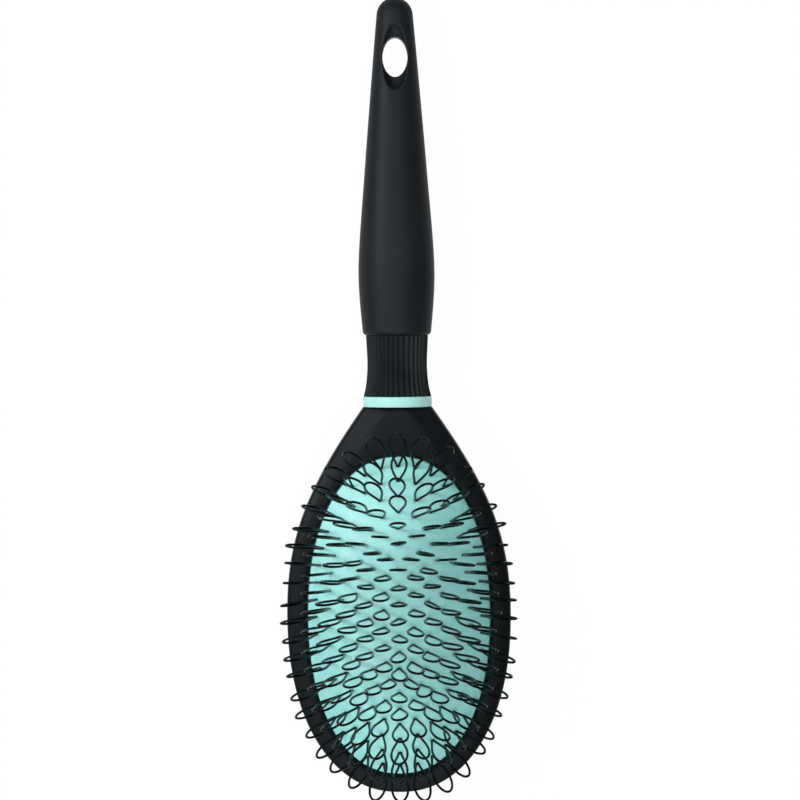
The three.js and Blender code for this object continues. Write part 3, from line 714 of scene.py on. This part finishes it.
def woven_mint(name, tint):
    """Mint facing with a fine crossed weave, its grooves darkened by painted shade."""
    nodes = Nodes(name)
    threads = []
    for turn in WEAVE_TURNS:
        mapping = nodes.add("ShaderNodeMapping", {"Vector": nodes.place, "Rotation": (0, 0, turn)})
        wave = nodes.add(
            "ShaderNodeTexWave",
            {
                "Vector": mapping.outputs["Vector"],
                "Scale": WAVE_PERIOD / WEAVE_PITCH,
                "Distortion": THREAD_WOBBLE,
                "Detail": 1,
            },
            wave_type="BANDS",
            bands_direction="X",
            wave_profile="SIN",
        )
        threads.append(wave.outputs["Fac"])
    weave = nodes.maths("MULTIPLY", *threads)
    fuzz = nodes.noise(FUZZ_SIZE, detail=3)
    height = nodes.maths("ADD", weave, nodes.maths("MULTIPLY", fuzz, FUZZ_SHARE))
    # The lower the weave, the darker the mint: painted shade in the grooves, with random fuzz in
    # tone.
    low, high = (shade(tint, factor) for factor in WEAVE_GROOVE_SHADE)
    nodes.fill(nodes.surface, {
        "Base Color": nodes.ramp(height, low, high, low_at=0.05, high_at=0.75),
        "Roughness": nodes.range(fuzz, low=0.44, high=0.58),
        "Normal": nodes.bump(height, depth=0.00006, strength=0.4),
        "Specular IOR Level": 0.9,
        "Sheen Weight": 0.08,
        "Sheen Roughness": 0.5,
    })
    return nodes.material


def finish_of(slot):
    """The material of one of the record's slots, made once."""
    name = "finish_" + slot
    made = bpy.data.materials.get(name)
    if made is None:
        tint = getattr(bpy.context.scene.loop_brush.finish, slot)
        if slot == "mint_rubber":
            made = woven_mint(name, tint)
        else:
            made = plain_finish(name, tint, SURFACES[slot])
    return made


def wear(piece, slot):
    """Puts a slot's finish on a piece, in place of any other."""
    piece.data.materials.clear()
    piece.data.materials.append(finish_of(slot))


def dress(piece, slot, node, body=BODY):
    """Gives a piece its finish, its body and the node that it stands for."""
    wear(piece, slot)
    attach(piece, body)
    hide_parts(node)


def complete(piece, handle, slot, node, angle=SHARP_ANGLE):
    """Cuts a piece's pocket for the core, then shades and dresses it."""
    cut(piece, core_pocket(handle))
    steady_normals(piece, angle)
    dress(piece, slot, node)


# Crown of the cushion, and the loops on it

CROWN_STEPS = 56
# The cushion's underside has one ring for so many of the crown's.
UNDERSIDE_SKIP = 4
CUSHION_SIDES = 420
# Places round a row at which its run is measured.
RUN_SAMPLES = 4001
# Lean of the loops in degrees, from the ridge to the rim.
ROW_LEANS = (0.0, 5.0, 8.0, 14.0, 19.5, 26.0, 33.5)
LOOPS_PER_ROW = (18, 24, 30, 32, 38, 44)
LEG_STATIONS = 9
TOP_STATIONS = 9
STRAND_SIDES = 8
# Handles of a leg's curve, as shares of the way to the shoulder.
LEG_START = 0.36
LEG_END = 0.62
# Share of the root's width that the legs' ends keep, inside the cushion.
ROOT_CLOSING = 0.8
LOOP_SEED = 41
# How much single loops differ.
YAW_SPREAD = math.radians(5.0)
LEAN_SPREAD = math.radians(1.5)
SWAY_SPREAD = math.radians(1.3)
LENGTH_SPREAD = 0.015
WIDTH_SPREAD = 0.03


def rim_arc(head, cushion):
    radius = cushion.crown_radius
    return radius * math.asin((head.pad_half_width - cushion.rim_gap) / radius)


def crown_z(head, cushion, arc):
    radius = cushion.crown_radius
    rise = math.cos(arc / radius) - math.cos(rim_arc(head, cushion) / radius)
    return cushion.rim_z + radius * rise


def crown_halves(head, cushion, arc):
    """Half width and half length of the crown at this distance from its ridge."""
    half_width = cushion.crown_radius * math.sin(arc / cushion.crown_radius)
    short = cushion.ridge_taper * (1 - arc / rim_arc(head, cushion))
    return half_width, half_width + head.pad_half_length - head.pad_half_width - short


def crown_flat(head, cushion, arc, turn):
    return oval(*crown_halves(head, cushion, arc), turn, head.oval_power)


def even_turns(head, cushion, arc, count):
    """Turns of evenly spaced places round one row, from the end at the neck."""
    turn = math.pi / 2 + np.linspace(0, 2 * math.pi, RUN_SAMPLES)
    run = run_share(crown_flat(head, cushion, arc, turn))
    return np.interp(np.arange(count) / count, run, turn)


def loop_places(settings):
    """Every loop's row, foot and upward direction, row 0 being the ridge."""
    head = settings.head
    cushion = settings.cushion
    loops = settings.loops
    places = []
    ridge = crown_halves(head, cushion, 0)[1]
    for i in range(loops.on_ridge):
        y = ((i + 0.5) / loops.on_ridge * 2 - 1) * ridge
        lean = y / loops.ridge_radius
        up = Vector((0, math.sin(lean), math.cos(lean)))
        places.append((0, Vector((0, y, crown_z(head, cushion, 0))), up))
    power = head.oval_power
    for row, count in enumerate(LOOPS_PER_ROW, start=1):
        arc = row * loops.row_pitch
        half_width, half_length = crown_halves(head, cushion, arc)
        for turn in even_turns(head, cushion, arc, count):
            x, y = oval(half_width, half_length, turn, power)
            slope = Vector((
                signed_power(x / half_width, power - 1) / half_width,
                signed_power(y / half_length, power - 1) / half_length,
                0,
            )).normalized()
            lean = math.radians(ROW_LEANS[row]) + loops.neck_lean * slope.y
            up = slope * math.sin(lean) + Vector((0, 0, math.cos(lean)))
            places.append((row, Vector((x, y, crown_z(head, cushion, arc))), up))
    return places


def loop_line(loops):
    """One loop's line in its own plane, across and up, from root round the top to root."""
    wide = loops.half_width
    root = loops.root_half_width
    shoulder = loops.reach * loops.shoulder
    handles = [
        [root, 0],
        [root + LEG_START * (wide - root), LEG_START * shoulder],
        [wide, LEG_END * shoulder],
        [wide, shoulder],
    ]
    leg = bezier(handles, LEG_STATIONS)
    angle = np.linspace(0, math.pi / 2, TOP_STATIONS)[1:]
    rounding = (loops.reach - shoulder) * np.sin(angle)
    top = np.column_stack([wide * np.cos(angle), shoulder + rounding])
    rise = np.concatenate([[[ROOT_CLOSING * root, -loops.root_depth]], leg, top])
    return np.concatenate([rise, (rise * [-1, 1])[-2::-1]])


def strand(line, radius, foot, across, up):
    """Points of one strand along a loop's line, ring by ring."""
    tangent = np.gradient(line, axis=0)
    tangent /= np.linalg.norm(tangent, axis=1, keepdims=True)
    normal = np.column_stack([tangent[:, 1], -tangent[:, 0]])
    angle = full_turn(STRAND_SIDES)
    flat = line[:, None, :] + radius * np.cos(angle)[None, :, None] * normal[:, None, :]
    aside = np.broadcast_to(radius * np.sin(angle), flat.shape[:2])
    points = (
        np.array(foot)
        + flat[..., :1] * np.array(across)
        + flat[..., 1:] * np.array(up)
        + aside[..., None] * np.array(up.cross(across))
    )
    return points.reshape(-1, 3)


# Operators

# Share of the face's fall that is reached halfway.
FACE_CROWN = 0.2
# Rounding of the frame's edges, from the parting over the face and down through the opening.
FRAME_RADII = (0.0002, 0.0011, 0.0005, 0.004, 0.0003, 0.0003, 0, 0, 0)
EDGE_STEPS = 5


class LOOPBRUSH_OT_front_frame(Operator):
    """Builds the beveled frame round the pad."""

    bl_idname = "loop_brush.front_frame"
    bl_label = "Front frame"

    def execute(self, context):
        head = context.scene.loop_brush.head
        under_lip = head.face_z - head.lip
        chamfer = head.edge_chamfer
        dip = towards_neck(head, head.side_dip, head.neck_dip)
        face = face_flat(head)
        wall = head_flat(head, head.wall_draft, head.wall_draft)
        slope = towards_neck(head, head.side_slope, head.neck_slope)
        fall = slope * np.linalg.norm(wall - face, axis=1)
        face_edge = at_height(face, head.face_z - dip)
        opening_edge = pad_ring(head, chamfer, chamfer, head.face_z)
        face_middle = (face_edge + opening_edge) / 2
        face_middle[:, 2] = head.face_z - FACE_CROWN * dip
        rings = [
            at_height(head_flat(head), head.parting_z),
            at_height(wall, head.face_z - dip - fall),
            face_edge,
            face_middle,
            opening_edge,
            pad_ring(head, 0, 0, head.face_z - chamfer),
            pad_ring(head, 0, 0, under_lip),
            pad_ring(head, head.seat_side, head.seat_end, under_lip),
            pad_ring(head, head.seat_side, head.seat_end, head.parting_z),
        ]
        piece = ring_piece("beveled_frame", rounded(rings, FRAME_RADII, EDGE_STEPS), wrap=True)
        complete(piece, context.scene.loop_brush.handle, "satin_black", "head_front_frame")
        return {"FINISHED"}


BACK_STEPS = 18
CHAMBER_STEPS = 10
# How late in the back's rounding its flat draws away from the neck.
SETBACK_POWER = 4
VENT_SIDES = 32


class LOOPBRUSH_OT_back_shell(Operator):
    """Builds the rounded shell behind the frame."""

    bl_idname = "loop_brush.back_shell"
    bl_label = "Back shell"

    def execute(self, context):
        settings = context.scene.loop_brush
        head = settings.head
        keel = head.neck_half_width - head.keel_half_width
        rings = []
        for drawn, height in back_levels(BACK_STEPS):
            setback = head.flat_setback * drawn**SETBACK_POWER
            flat = head_flat(head, head.back_round * drawn, keel * drawn, setback)
            rings.append(at_height(flat, head.parting_z * height))
        tongue_top = head.parting_z + head.tongue_height
        side = head.seat_side - head.fit_gap
        end = head.seat_end - head.fit_gap
        rings += [pad_ring(head, side, end, z) for z in (head.parting_z, tongue_top)]
        side -= head.tongue_thickness
        end -= head.tongue_thickness
        rings.append(pad_ring(head, side, end, tongue_top))
        for drawn, height in reversed(back_levels(CHAMBER_STEPS)):
            inward = head.back_round * drawn
            z = head.floor + (head.parting_z - head.floor) * height
            rings.append(pad_ring(head, side - inward, end - inward, z))
        piece = ring_piece("rounded_back", rings)
        radius = head.vent_radius
        vent = oval(radius, radius, full_turn(VENT_SIDES), power=2) + [0, head.vent_y]
        cut(piece, bar(vent, -CUT_PAST, head.floor + CUT_PAST))
        complete(piece, settings.handle, "satin_black", "head_back_shell")
        return {"FINISHED"}


class LOOPBRUSH_OT_cushion(Operator):
    """Builds the crowned mint cushion with a dimple at each loop's root."""

    bl_idname = "loop_brush.cushion"
    bl_label = "Cushion"

    def execute(self, context):
        settings = context.scene.loop_brush
        head = settings.head
        cushion = settings.cushion
        turn = full_turn(CUSHION_SIDES)
        arcs = np.linspace(0, rim_arc(head, cushion), CROWN_STEPS)

        def crown(arc, drop):
            flat = crown_flat(head, cushion, arc, turn)
            return at_height(flat, crown_z(head, cushion, arc) - drop)

        def edge(side, end, z):
            half_width = head.pad_half_width + side
            half_length = head.pad_half_length + end
            return at_height(oval(half_width, half_length, turn, head.oval_power), z)

        side = head.seat_side - head.fit_gap
        end = head.seat_end - head.fit_gap
        inner = -cushion.rim_gap - cushion.thickness / 2
        rings = [crown(arc, 0) for arc in arcs]
        rings += [
            edge(-cushion.rim_gap, -cushion.rim_gap, cushion.flange_high),
            edge(side, end, cushion.flange_high),
            edge(side, end, cushion.flange_low),
            edge(inner, inner, cushion.flange_low),
        ]
        rings += [crown(arc, cushion.thickness) for arc in arcs[::-UNDERSIDE_SKIP]]
        top_count = len(arcs) * CUSHION_SIDES
        points = np.concatenate(rings)
        for foot in np.array([foot for _, foot, _ in loop_places(settings)]):
            away = np.linalg.norm(points[:top_count, :2] - foot[:2], axis=1)
            near = np.clip(1 - (away / cushion.dimple_radius) ** 2, 0, 1) ** 2
            points[:top_count, 2] -= cushion.dimple_depth * near
        piece = ring_piece("mint_cushion", list(points.reshape(len(rings), CUSHION_SIDES, 3)))
        steady_normals(piece, SHARP_ANGLE)
        apply_modifiers(piece)
        dress(piece, "mint_rubber", "air_cushion")
        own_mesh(piece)
        return {"FINISHED"}


LOOP_GROUPS = (
    ("loop_wires_centre", "pad_centre", "loops_centre", (0, 1, 2)),
    ("loop_wires_inner", "pad_inner", "loops_inner", (3, 4)),
    ("loop_wires_outer", "pad_outer", "loops_outer", (5,)),
    ("loop_wires_rim", "pad_rim", "loops_rim", (6,)),
)


class LOOPBRUSH_OT_loops(Operator):
    """Builds the nylon loops, a piece for each ring of the pad that moves by itself."""

    bl_idname = "loop_brush.loops"
    bl_label = "Loops"

    def execute(self, context):
        settings = context.scene.loop_brush
        loops = settings.loops
        line = loop_line(loops)
        chance = np.random.default_rng(LOOP_SEED)
        wires = []
        for row, foot, up in loop_places(settings):
            across = (Vector((1, 0, 0)) - up * up.x).normalized()
            through = up.cross(across)
            yaw = chance.normal(0, YAW_SPREAD)
            lean = chance.normal(0, LEAN_SPREAD)
            sway = chance.normal(0, SWAY_SPREAD)
            size = 1 + chance.normal(0, LENGTH_SPREAD)
            wide = 1 + chance.normal(0, WIDTH_SPREAD)
            leaned = (up + through * math.tan(lean) + across * math.tan(sway)).normalized()
            turned_across = across * math.cos(yaw) + through * math.sin(yaw)
            turned_across = (turned_across - leaned * turned_across.dot(leaned)).normalized()
            shape = line * [wide, size]
            wires.append((row, strand(shape, loops.strand_radius, foot, turned_across, leaned)))
        wire_faces = ring_faces(len(line), STRAND_SIDES)
        for name, body, node, rows in LOOP_GROUPS:
            group = [points for row, points in wires if row in rows]
            faces = [
                tuple(i * len(points) + k for k in face)
                for i, points in enumerate(group)
                for face in wire_faces
            ]
            dress(new_piece(name, np.concatenate(group), faces), "black_nylon", node, body)
        return {"FINISHED"}


COLLAR_SIDES = 192
COLLAR_ROUND_STEPS = 7
# The cap of each end stops this many roundings in from the ring's edge.
COLLAR_END = 3


class LOOPBRUSH_OT_collar(Operator):
    """Builds the mint ring between head and sleeve."""

    bl_idname = "loop_brush.collar"
    bl_label = "Mint ring"

    def execute(self, context):
        handle = context.scene.loop_brush.handle
        half_width = RING_HIGH.x
        run = RING_HIGH.y - RING_LOW.y
        edge = handle.ring_edge
        quarter = np.linspace(0, math.pi / 2, COLLAR_ROUND_STEPS)
        rounding = [(edge * (1 - math.sin(t)), edge * (1 - math.cos(t))) for t in quarter]
        profile = [
            (half_width - COLLAR_END * edge, 0),
            *((half_width - inset, along) for inset, along in rounding),
            *((half_width - inset, run - along) for along, inset in rounding),
            (half_width - COLLAR_END * edge, run),
        ]
        flatness = handle.ring_half_depth / half_width
        piece = turned(
            "mint_collar", profile, COLLAR_SIDES, flatness, RING_LOW.y, handle.axis_z
        )
        complete(piece, handle, "mint_gloss", "accent_ring")
        return {"FINISHED"}


SLEEVE_STATIONS = 40
SIDES_PER_RIB = 12
# Under 1, grooves are wider than ribs.
GROOVE_POWER = 0.8


class LOOPBRUSH_OT_sleeve(Operator):
    """Builds the ribbed sleeve."""

    bl_idname = "loop_brush.sleeve"
    bl_label = "Ribbed sleeve"

    def execute(self, context):
        handle = context.scene.loop_brush.handle
        foot = RING_HIGH.y + HAIRLINE
        run = GRIP_LOW.y - handle.grip_drop - HAIRLINE - foot
        knots = [
            (handle.sleeve_foot, 0),
            (handle.sleeve_flare, handle.sleeve_flare_at),
            (handle.sleeve_waist, handle.sleeve_waist_at),
            (handle.sleeve_top, run),
        ]
        sides = handle.flutes * SIDES_PER_RIB
        wave = np.cos(handle.flutes * full_turn(sides))
        groove = handle.flute_depth * (0.5 - 0.5 * wave) ** GROOVE_POWER
        flatness = handle.ring_half_depth / RING_HIGH.x
        profile = [(radius - groove, along) for radius, along in spline(knots, SLEEVE_STATIONS)]
        piece = turned("ribbed_sleeve", profile, sides, flatness, foot, handle.axis_z)
        complete(piece, handle, "ribbed_black", "neck_sleeve", RIB_SHARP_ANGLE)
        return {"FINISHED"}


GRIP_STATIONS = 110
CAP_STATIONS = 24
GRIP_SIDES = 128
EYE_SIDES = 96
# Half of the height of the eye's cutter, which passes the grip's faces.
EYE_REACH = 0.01
SCOOP_SEGMENTS = 64
SCOOP_RINGS = 40
GRIP_VOXEL = 0.00034
SOFTEN_FACTOR = 0.5
SOFTEN_ROUNDS = 4


def scoop(handle, y, z):
    """A rounded hollow's shape about this place, as a cutter."""
    mesh = bpy.data.meshes.new("scoop")
    shape = bmesh.new()
    bmesh.ops.create_uvsphere(
        shape, u_segments=SCOOP_SEGMENTS, v_segments=SCOOP_RINGS, radius=1
    )
    for vertex in shape.verts:
        vertex.co.x *= handle.scoop_half_width
        vertex.co.y = y + vertex.co.y * handle.scoop_half_length
        vertex.co.z = z + vertex.co.z * handle.scoop_depth
    shape.to_mesh(mesh)
    shape.free()
    return add_object("scoop", mesh)


class LOOPBRUSH_OT_grip(Operator):
    """Builds the soft grip with its scooped hanging eye."""

    bl_idname = "loop_brush.grip"
    bl_label = "Grip"

    def execute(self, context):
        handle = context.scene.loop_brush.handle
        foot = GRIP_LOW.y - handle.grip_drop
        run = GRIP_HIGH.y - foot
        cap_start = run - handle.grip_tip
        eye_at = run - handle.eye_setback
        knots = [
            (handle.grip_foot, handle.grip_foot_chamfer),
            (handle.grip_belly, handle.grip_belly_at),
            (handle.grip_middle, handle.grip_middle_at),
            (handle.grip_eye, eye_at),
            (handle.grip_tip, cap_start),
        ]
        side = spline(knots, GRIP_STATIONS)
        cap = [
            (handle.grip_tip * math.cos(t), cap_start + handle.grip_tip * math.sin(t))
            for t in np.linspace(0, math.pi / 2, CAP_STATIONS)[1:-1]
        ]
        profile = [(handle.grip_foot - handle.grip_foot_chamfer, 0), *side, *cap]
        flatness = handle.axis_z / handle.grip_belly
        piece = turned("soft_grip", profile, GRIP_SIDES, flatness, foot, handle.axis_z)
        eye_y = foot + eye_at
        surface = handle.grip_eye * flatness
        turn = full_turn(EYE_SIDES)
        eye = oval(handle.eye_half_width, handle.eye_half_length, turn, power=2) + [0, eye_y]
        hole = bar(eye, handle.axis_z - EYE_REACH, handle.axis_z + EYE_REACH)
        scoops = [scoop(handle, eye_y, handle.axis_z + facing * surface) for facing in (-1, 1)]
        cut(piece, core_pocket(handle), hole, *scoops)
        skin = piece.modifiers.new("skin", "REMESH")
        skin.mode = "VOXEL"
        skin.voxel_size = GRIP_VOXEL
        soften = piece.modifiers.new("soften", "SMOOTH")
        soften.factor = SOFTEN_FACTOR
        soften.iterations = SOFTEN_ROUNDS
        apply_modifiers(piece)
        piece.data.shade_smooth()
        dress(piece, "soft_black", "grip")
        return {"FINISHED"}


HIDDEN_PIECES = {
    "core_grey": ["cushion_clamp_ring", "handle_core"],
    "screw_steel": [
        *(f"clamp_screw_{i}" for i in range(1, 7)),
        "core_screw_left",
        "core_screw_right",
    ],
}


class LOOPBRUSH_OT_hidden_pieces(Operator):
    """Gives the pieces inside the brush their finishes."""

    bl_idname = "loop_brush.hidden_pieces"
    bl_label = "Hidden pieces"

    def execute(self, context):
        for slot, names in HIDDEN_PIECES.items():
            for name in names:
                wear(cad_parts[name], slot)
        return {"FINISHED"}


FLOOR_HALF = 20.0
# Just under the brush, so that the two don't share a plane.
FLOOR_Z = -0.0002
FLOOR_GREY = 0.9
# Each lamp's name, place, width and height. Its power is a setting.
LAMPS = (
    ("top", (-0.2, 0.06, 1.1), 1.8, 1.5),
    ("side", (-0.66, 0.34, 0.66), 0.40, 0.26),
    ("tip", (0, -0.75, 0.75), 0.8, 0.5),
)
LAMP_AIM = (0, 0.06, 0.01)
CAMERA_AIM_Z = 0.012
SENSOR_WIDTH = 36
CLIP_START = 0.01


def add_lamp(name, place, width, height, power):
    lamp = bpy.data.lights.new(name, "AREA")
    lamp.shape = "RECTANGLE"
    lamp.size = width
    lamp.size_y = height
    lamp.energy = power
    holder = add_object(name, lamp)
    holder.location = place
    holder.rotation_euler = (Vector(LAMP_AIM) - Vector(place)).to_track_quat("-Z", "Y").to_euler()


def add_camera(stage):
    """A camera that looks nearly straight down on the brush."""
    lens = bpy.data.cameras.new("camera")
    lens.lens = stage.lens
    lens.sensor_width = SENSOR_WIDTH
    lens.clip_start = CLIP_START
    camera = add_object("camera", lens)
    aim = Vector((stage.target_x, stage.target_y, CAMERA_AIM_Z))
    back = Vector((0, math.sin(stage.tilt), math.cos(stage.tilt)))
    camera.location = aim + back * stage.distance
    camera.rotation_euler = Euler((-stage.tilt, 0, stage.roll), "ZXY")
    return camera


def pale_floor(glow_share):
    """A matt floor that keeps shadows and looks nearly white, straight on and in gleams."""
    nodes = Nodes("pale_floor")
    nodes.tree.nodes.clear()
    rays = nodes.add("ShaderNodeLightPath").outputs
    seen = rays["Is Camera Ray"]
    for ray in ("Is Glossy Ray", "Is Transmission Ray"):
        seen = nodes.maths("MAXIMUM", seen, rays[ray])
    matt = nodes.add("ShaderNodeBsdfDiffuse", {"Color": (FLOOR_GREY, FLOOR_GREY, FLOOR_GREY, 1)})
    glow = nodes.add("ShaderNodeEmission", {"Strength": 1.0})
    mix = nodes.add("ShaderNodeMixShader", {
        "Fac": nodes.maths("MULTIPLY", seen, glow_share),
        1: matt.outputs["BSDF"],
        2: glow.outputs["Emission"],
    })
    nodes.add("ShaderNodeOutputMaterial", {"Surface": mix.outputs["Shader"]})
    return nodes.material


class LOOPBRUSH_OT_stage(Operator):
    """Sets the floor, the lamps and the camera."""

    bl_idname = "loop_brush.stage"
    bl_label = "Stage"

    def execute(self, context):
        scene = context.scene
        stage = scene.loop_brush.stage
        half = FLOOR_HALF
        corners = [(-half, -half), (half, -half), (half, half), (-half, half)]
        mesh = bpy.data.meshes.new("floor")
        mesh.from_pydata([(*corner, FLOOR_Z) for corner in corners], [], [(0, 1, 2, 3)])
        mesh.materials.append(pale_floor(stage.floor_glow))
        floor = add_object("floor", mesh)

        world = bpy.data.worlds.new("studio")
        scene.world = world
        world.use_nodes = True
        sky = world.node_tree.nodes["Background"]
        sky.inputs["Color"].default_value = (1, 1, 1, 1)
        sky.inputs["Strength"].default_value = stage.sky

        for name, place, width, height in LAMPS:
            add_lamp(name, place, width, height, getattr(stage, name + "_power"))
        scene.camera = add_camera(stage)
        scene.view_settings.view_transform = "Standard"
        return {"FINISHED"}


BUILD_ORDER = (
    LOOPBRUSH_OT_stage,
    LOOPBRUSH_OT_front_frame,
    LOOPBRUSH_OT_back_shell,
    LOOPBRUSH_OT_cushion,
    LOOPBRUSH_OT_loops,
    LOOPBRUSH_OT_collar,
    LOOPBRUSH_OT_sleeve,
    LOOPBRUSH_OT_grip,
    LOOPBRUSH_OT_hidden_pieces,
)


class LOOPBRUSH_PT_pieces(Panel):
    """Lists the pieces of the brush."""

    bl_idname = "LOOPBRUSH_PT_pieces"
    bl_label = "Loop Brush"
    bl_space_type = "VIEW_3D"
    bl_region_type = "UI"
    bl_category = "Loop Brush"

    def draw(self, context):
        for operator in BUILD_ORDER:
            self.layout.operator(operator.bl_idname)


CLASSES = (
    HeadSizes,
    CushionSizes,
    LoopSizes,
    HandleSizes,
    Finishes,
    StageSizes,
    BrushSettings,
    *BUILD_ORDER,
    LOOPBRUSH_PT_pieces,
)


def register():
    for cls in CLASSES:
        bpy.utils.register_class(cls)
    bpy.types.Scene.loop_brush = PointerProperty(type=BrushSettings)


def unregister():
    del bpy.types.Scene.loop_brush
    for cls in reversed(CLASSES):
        bpy.utils.unregister_class(cls)


def main():
    register()
    bpy.ops.loop_brush.stage()
    bpy.ops.loop_brush.front_frame()
    bpy.ops.loop_brush.back_shell()
    bpy.ops.loop_brush.cushion()
    bpy.ops.loop_brush.loops()
    bpy.ops.loop_brush.collar()
    bpy.ops.loop_brush.sleeve()
    bpy.ops.loop_brush.grip()
    bpy.ops.loop_brush.hidden_pieces()


if __name__ == "__main__":
    main()
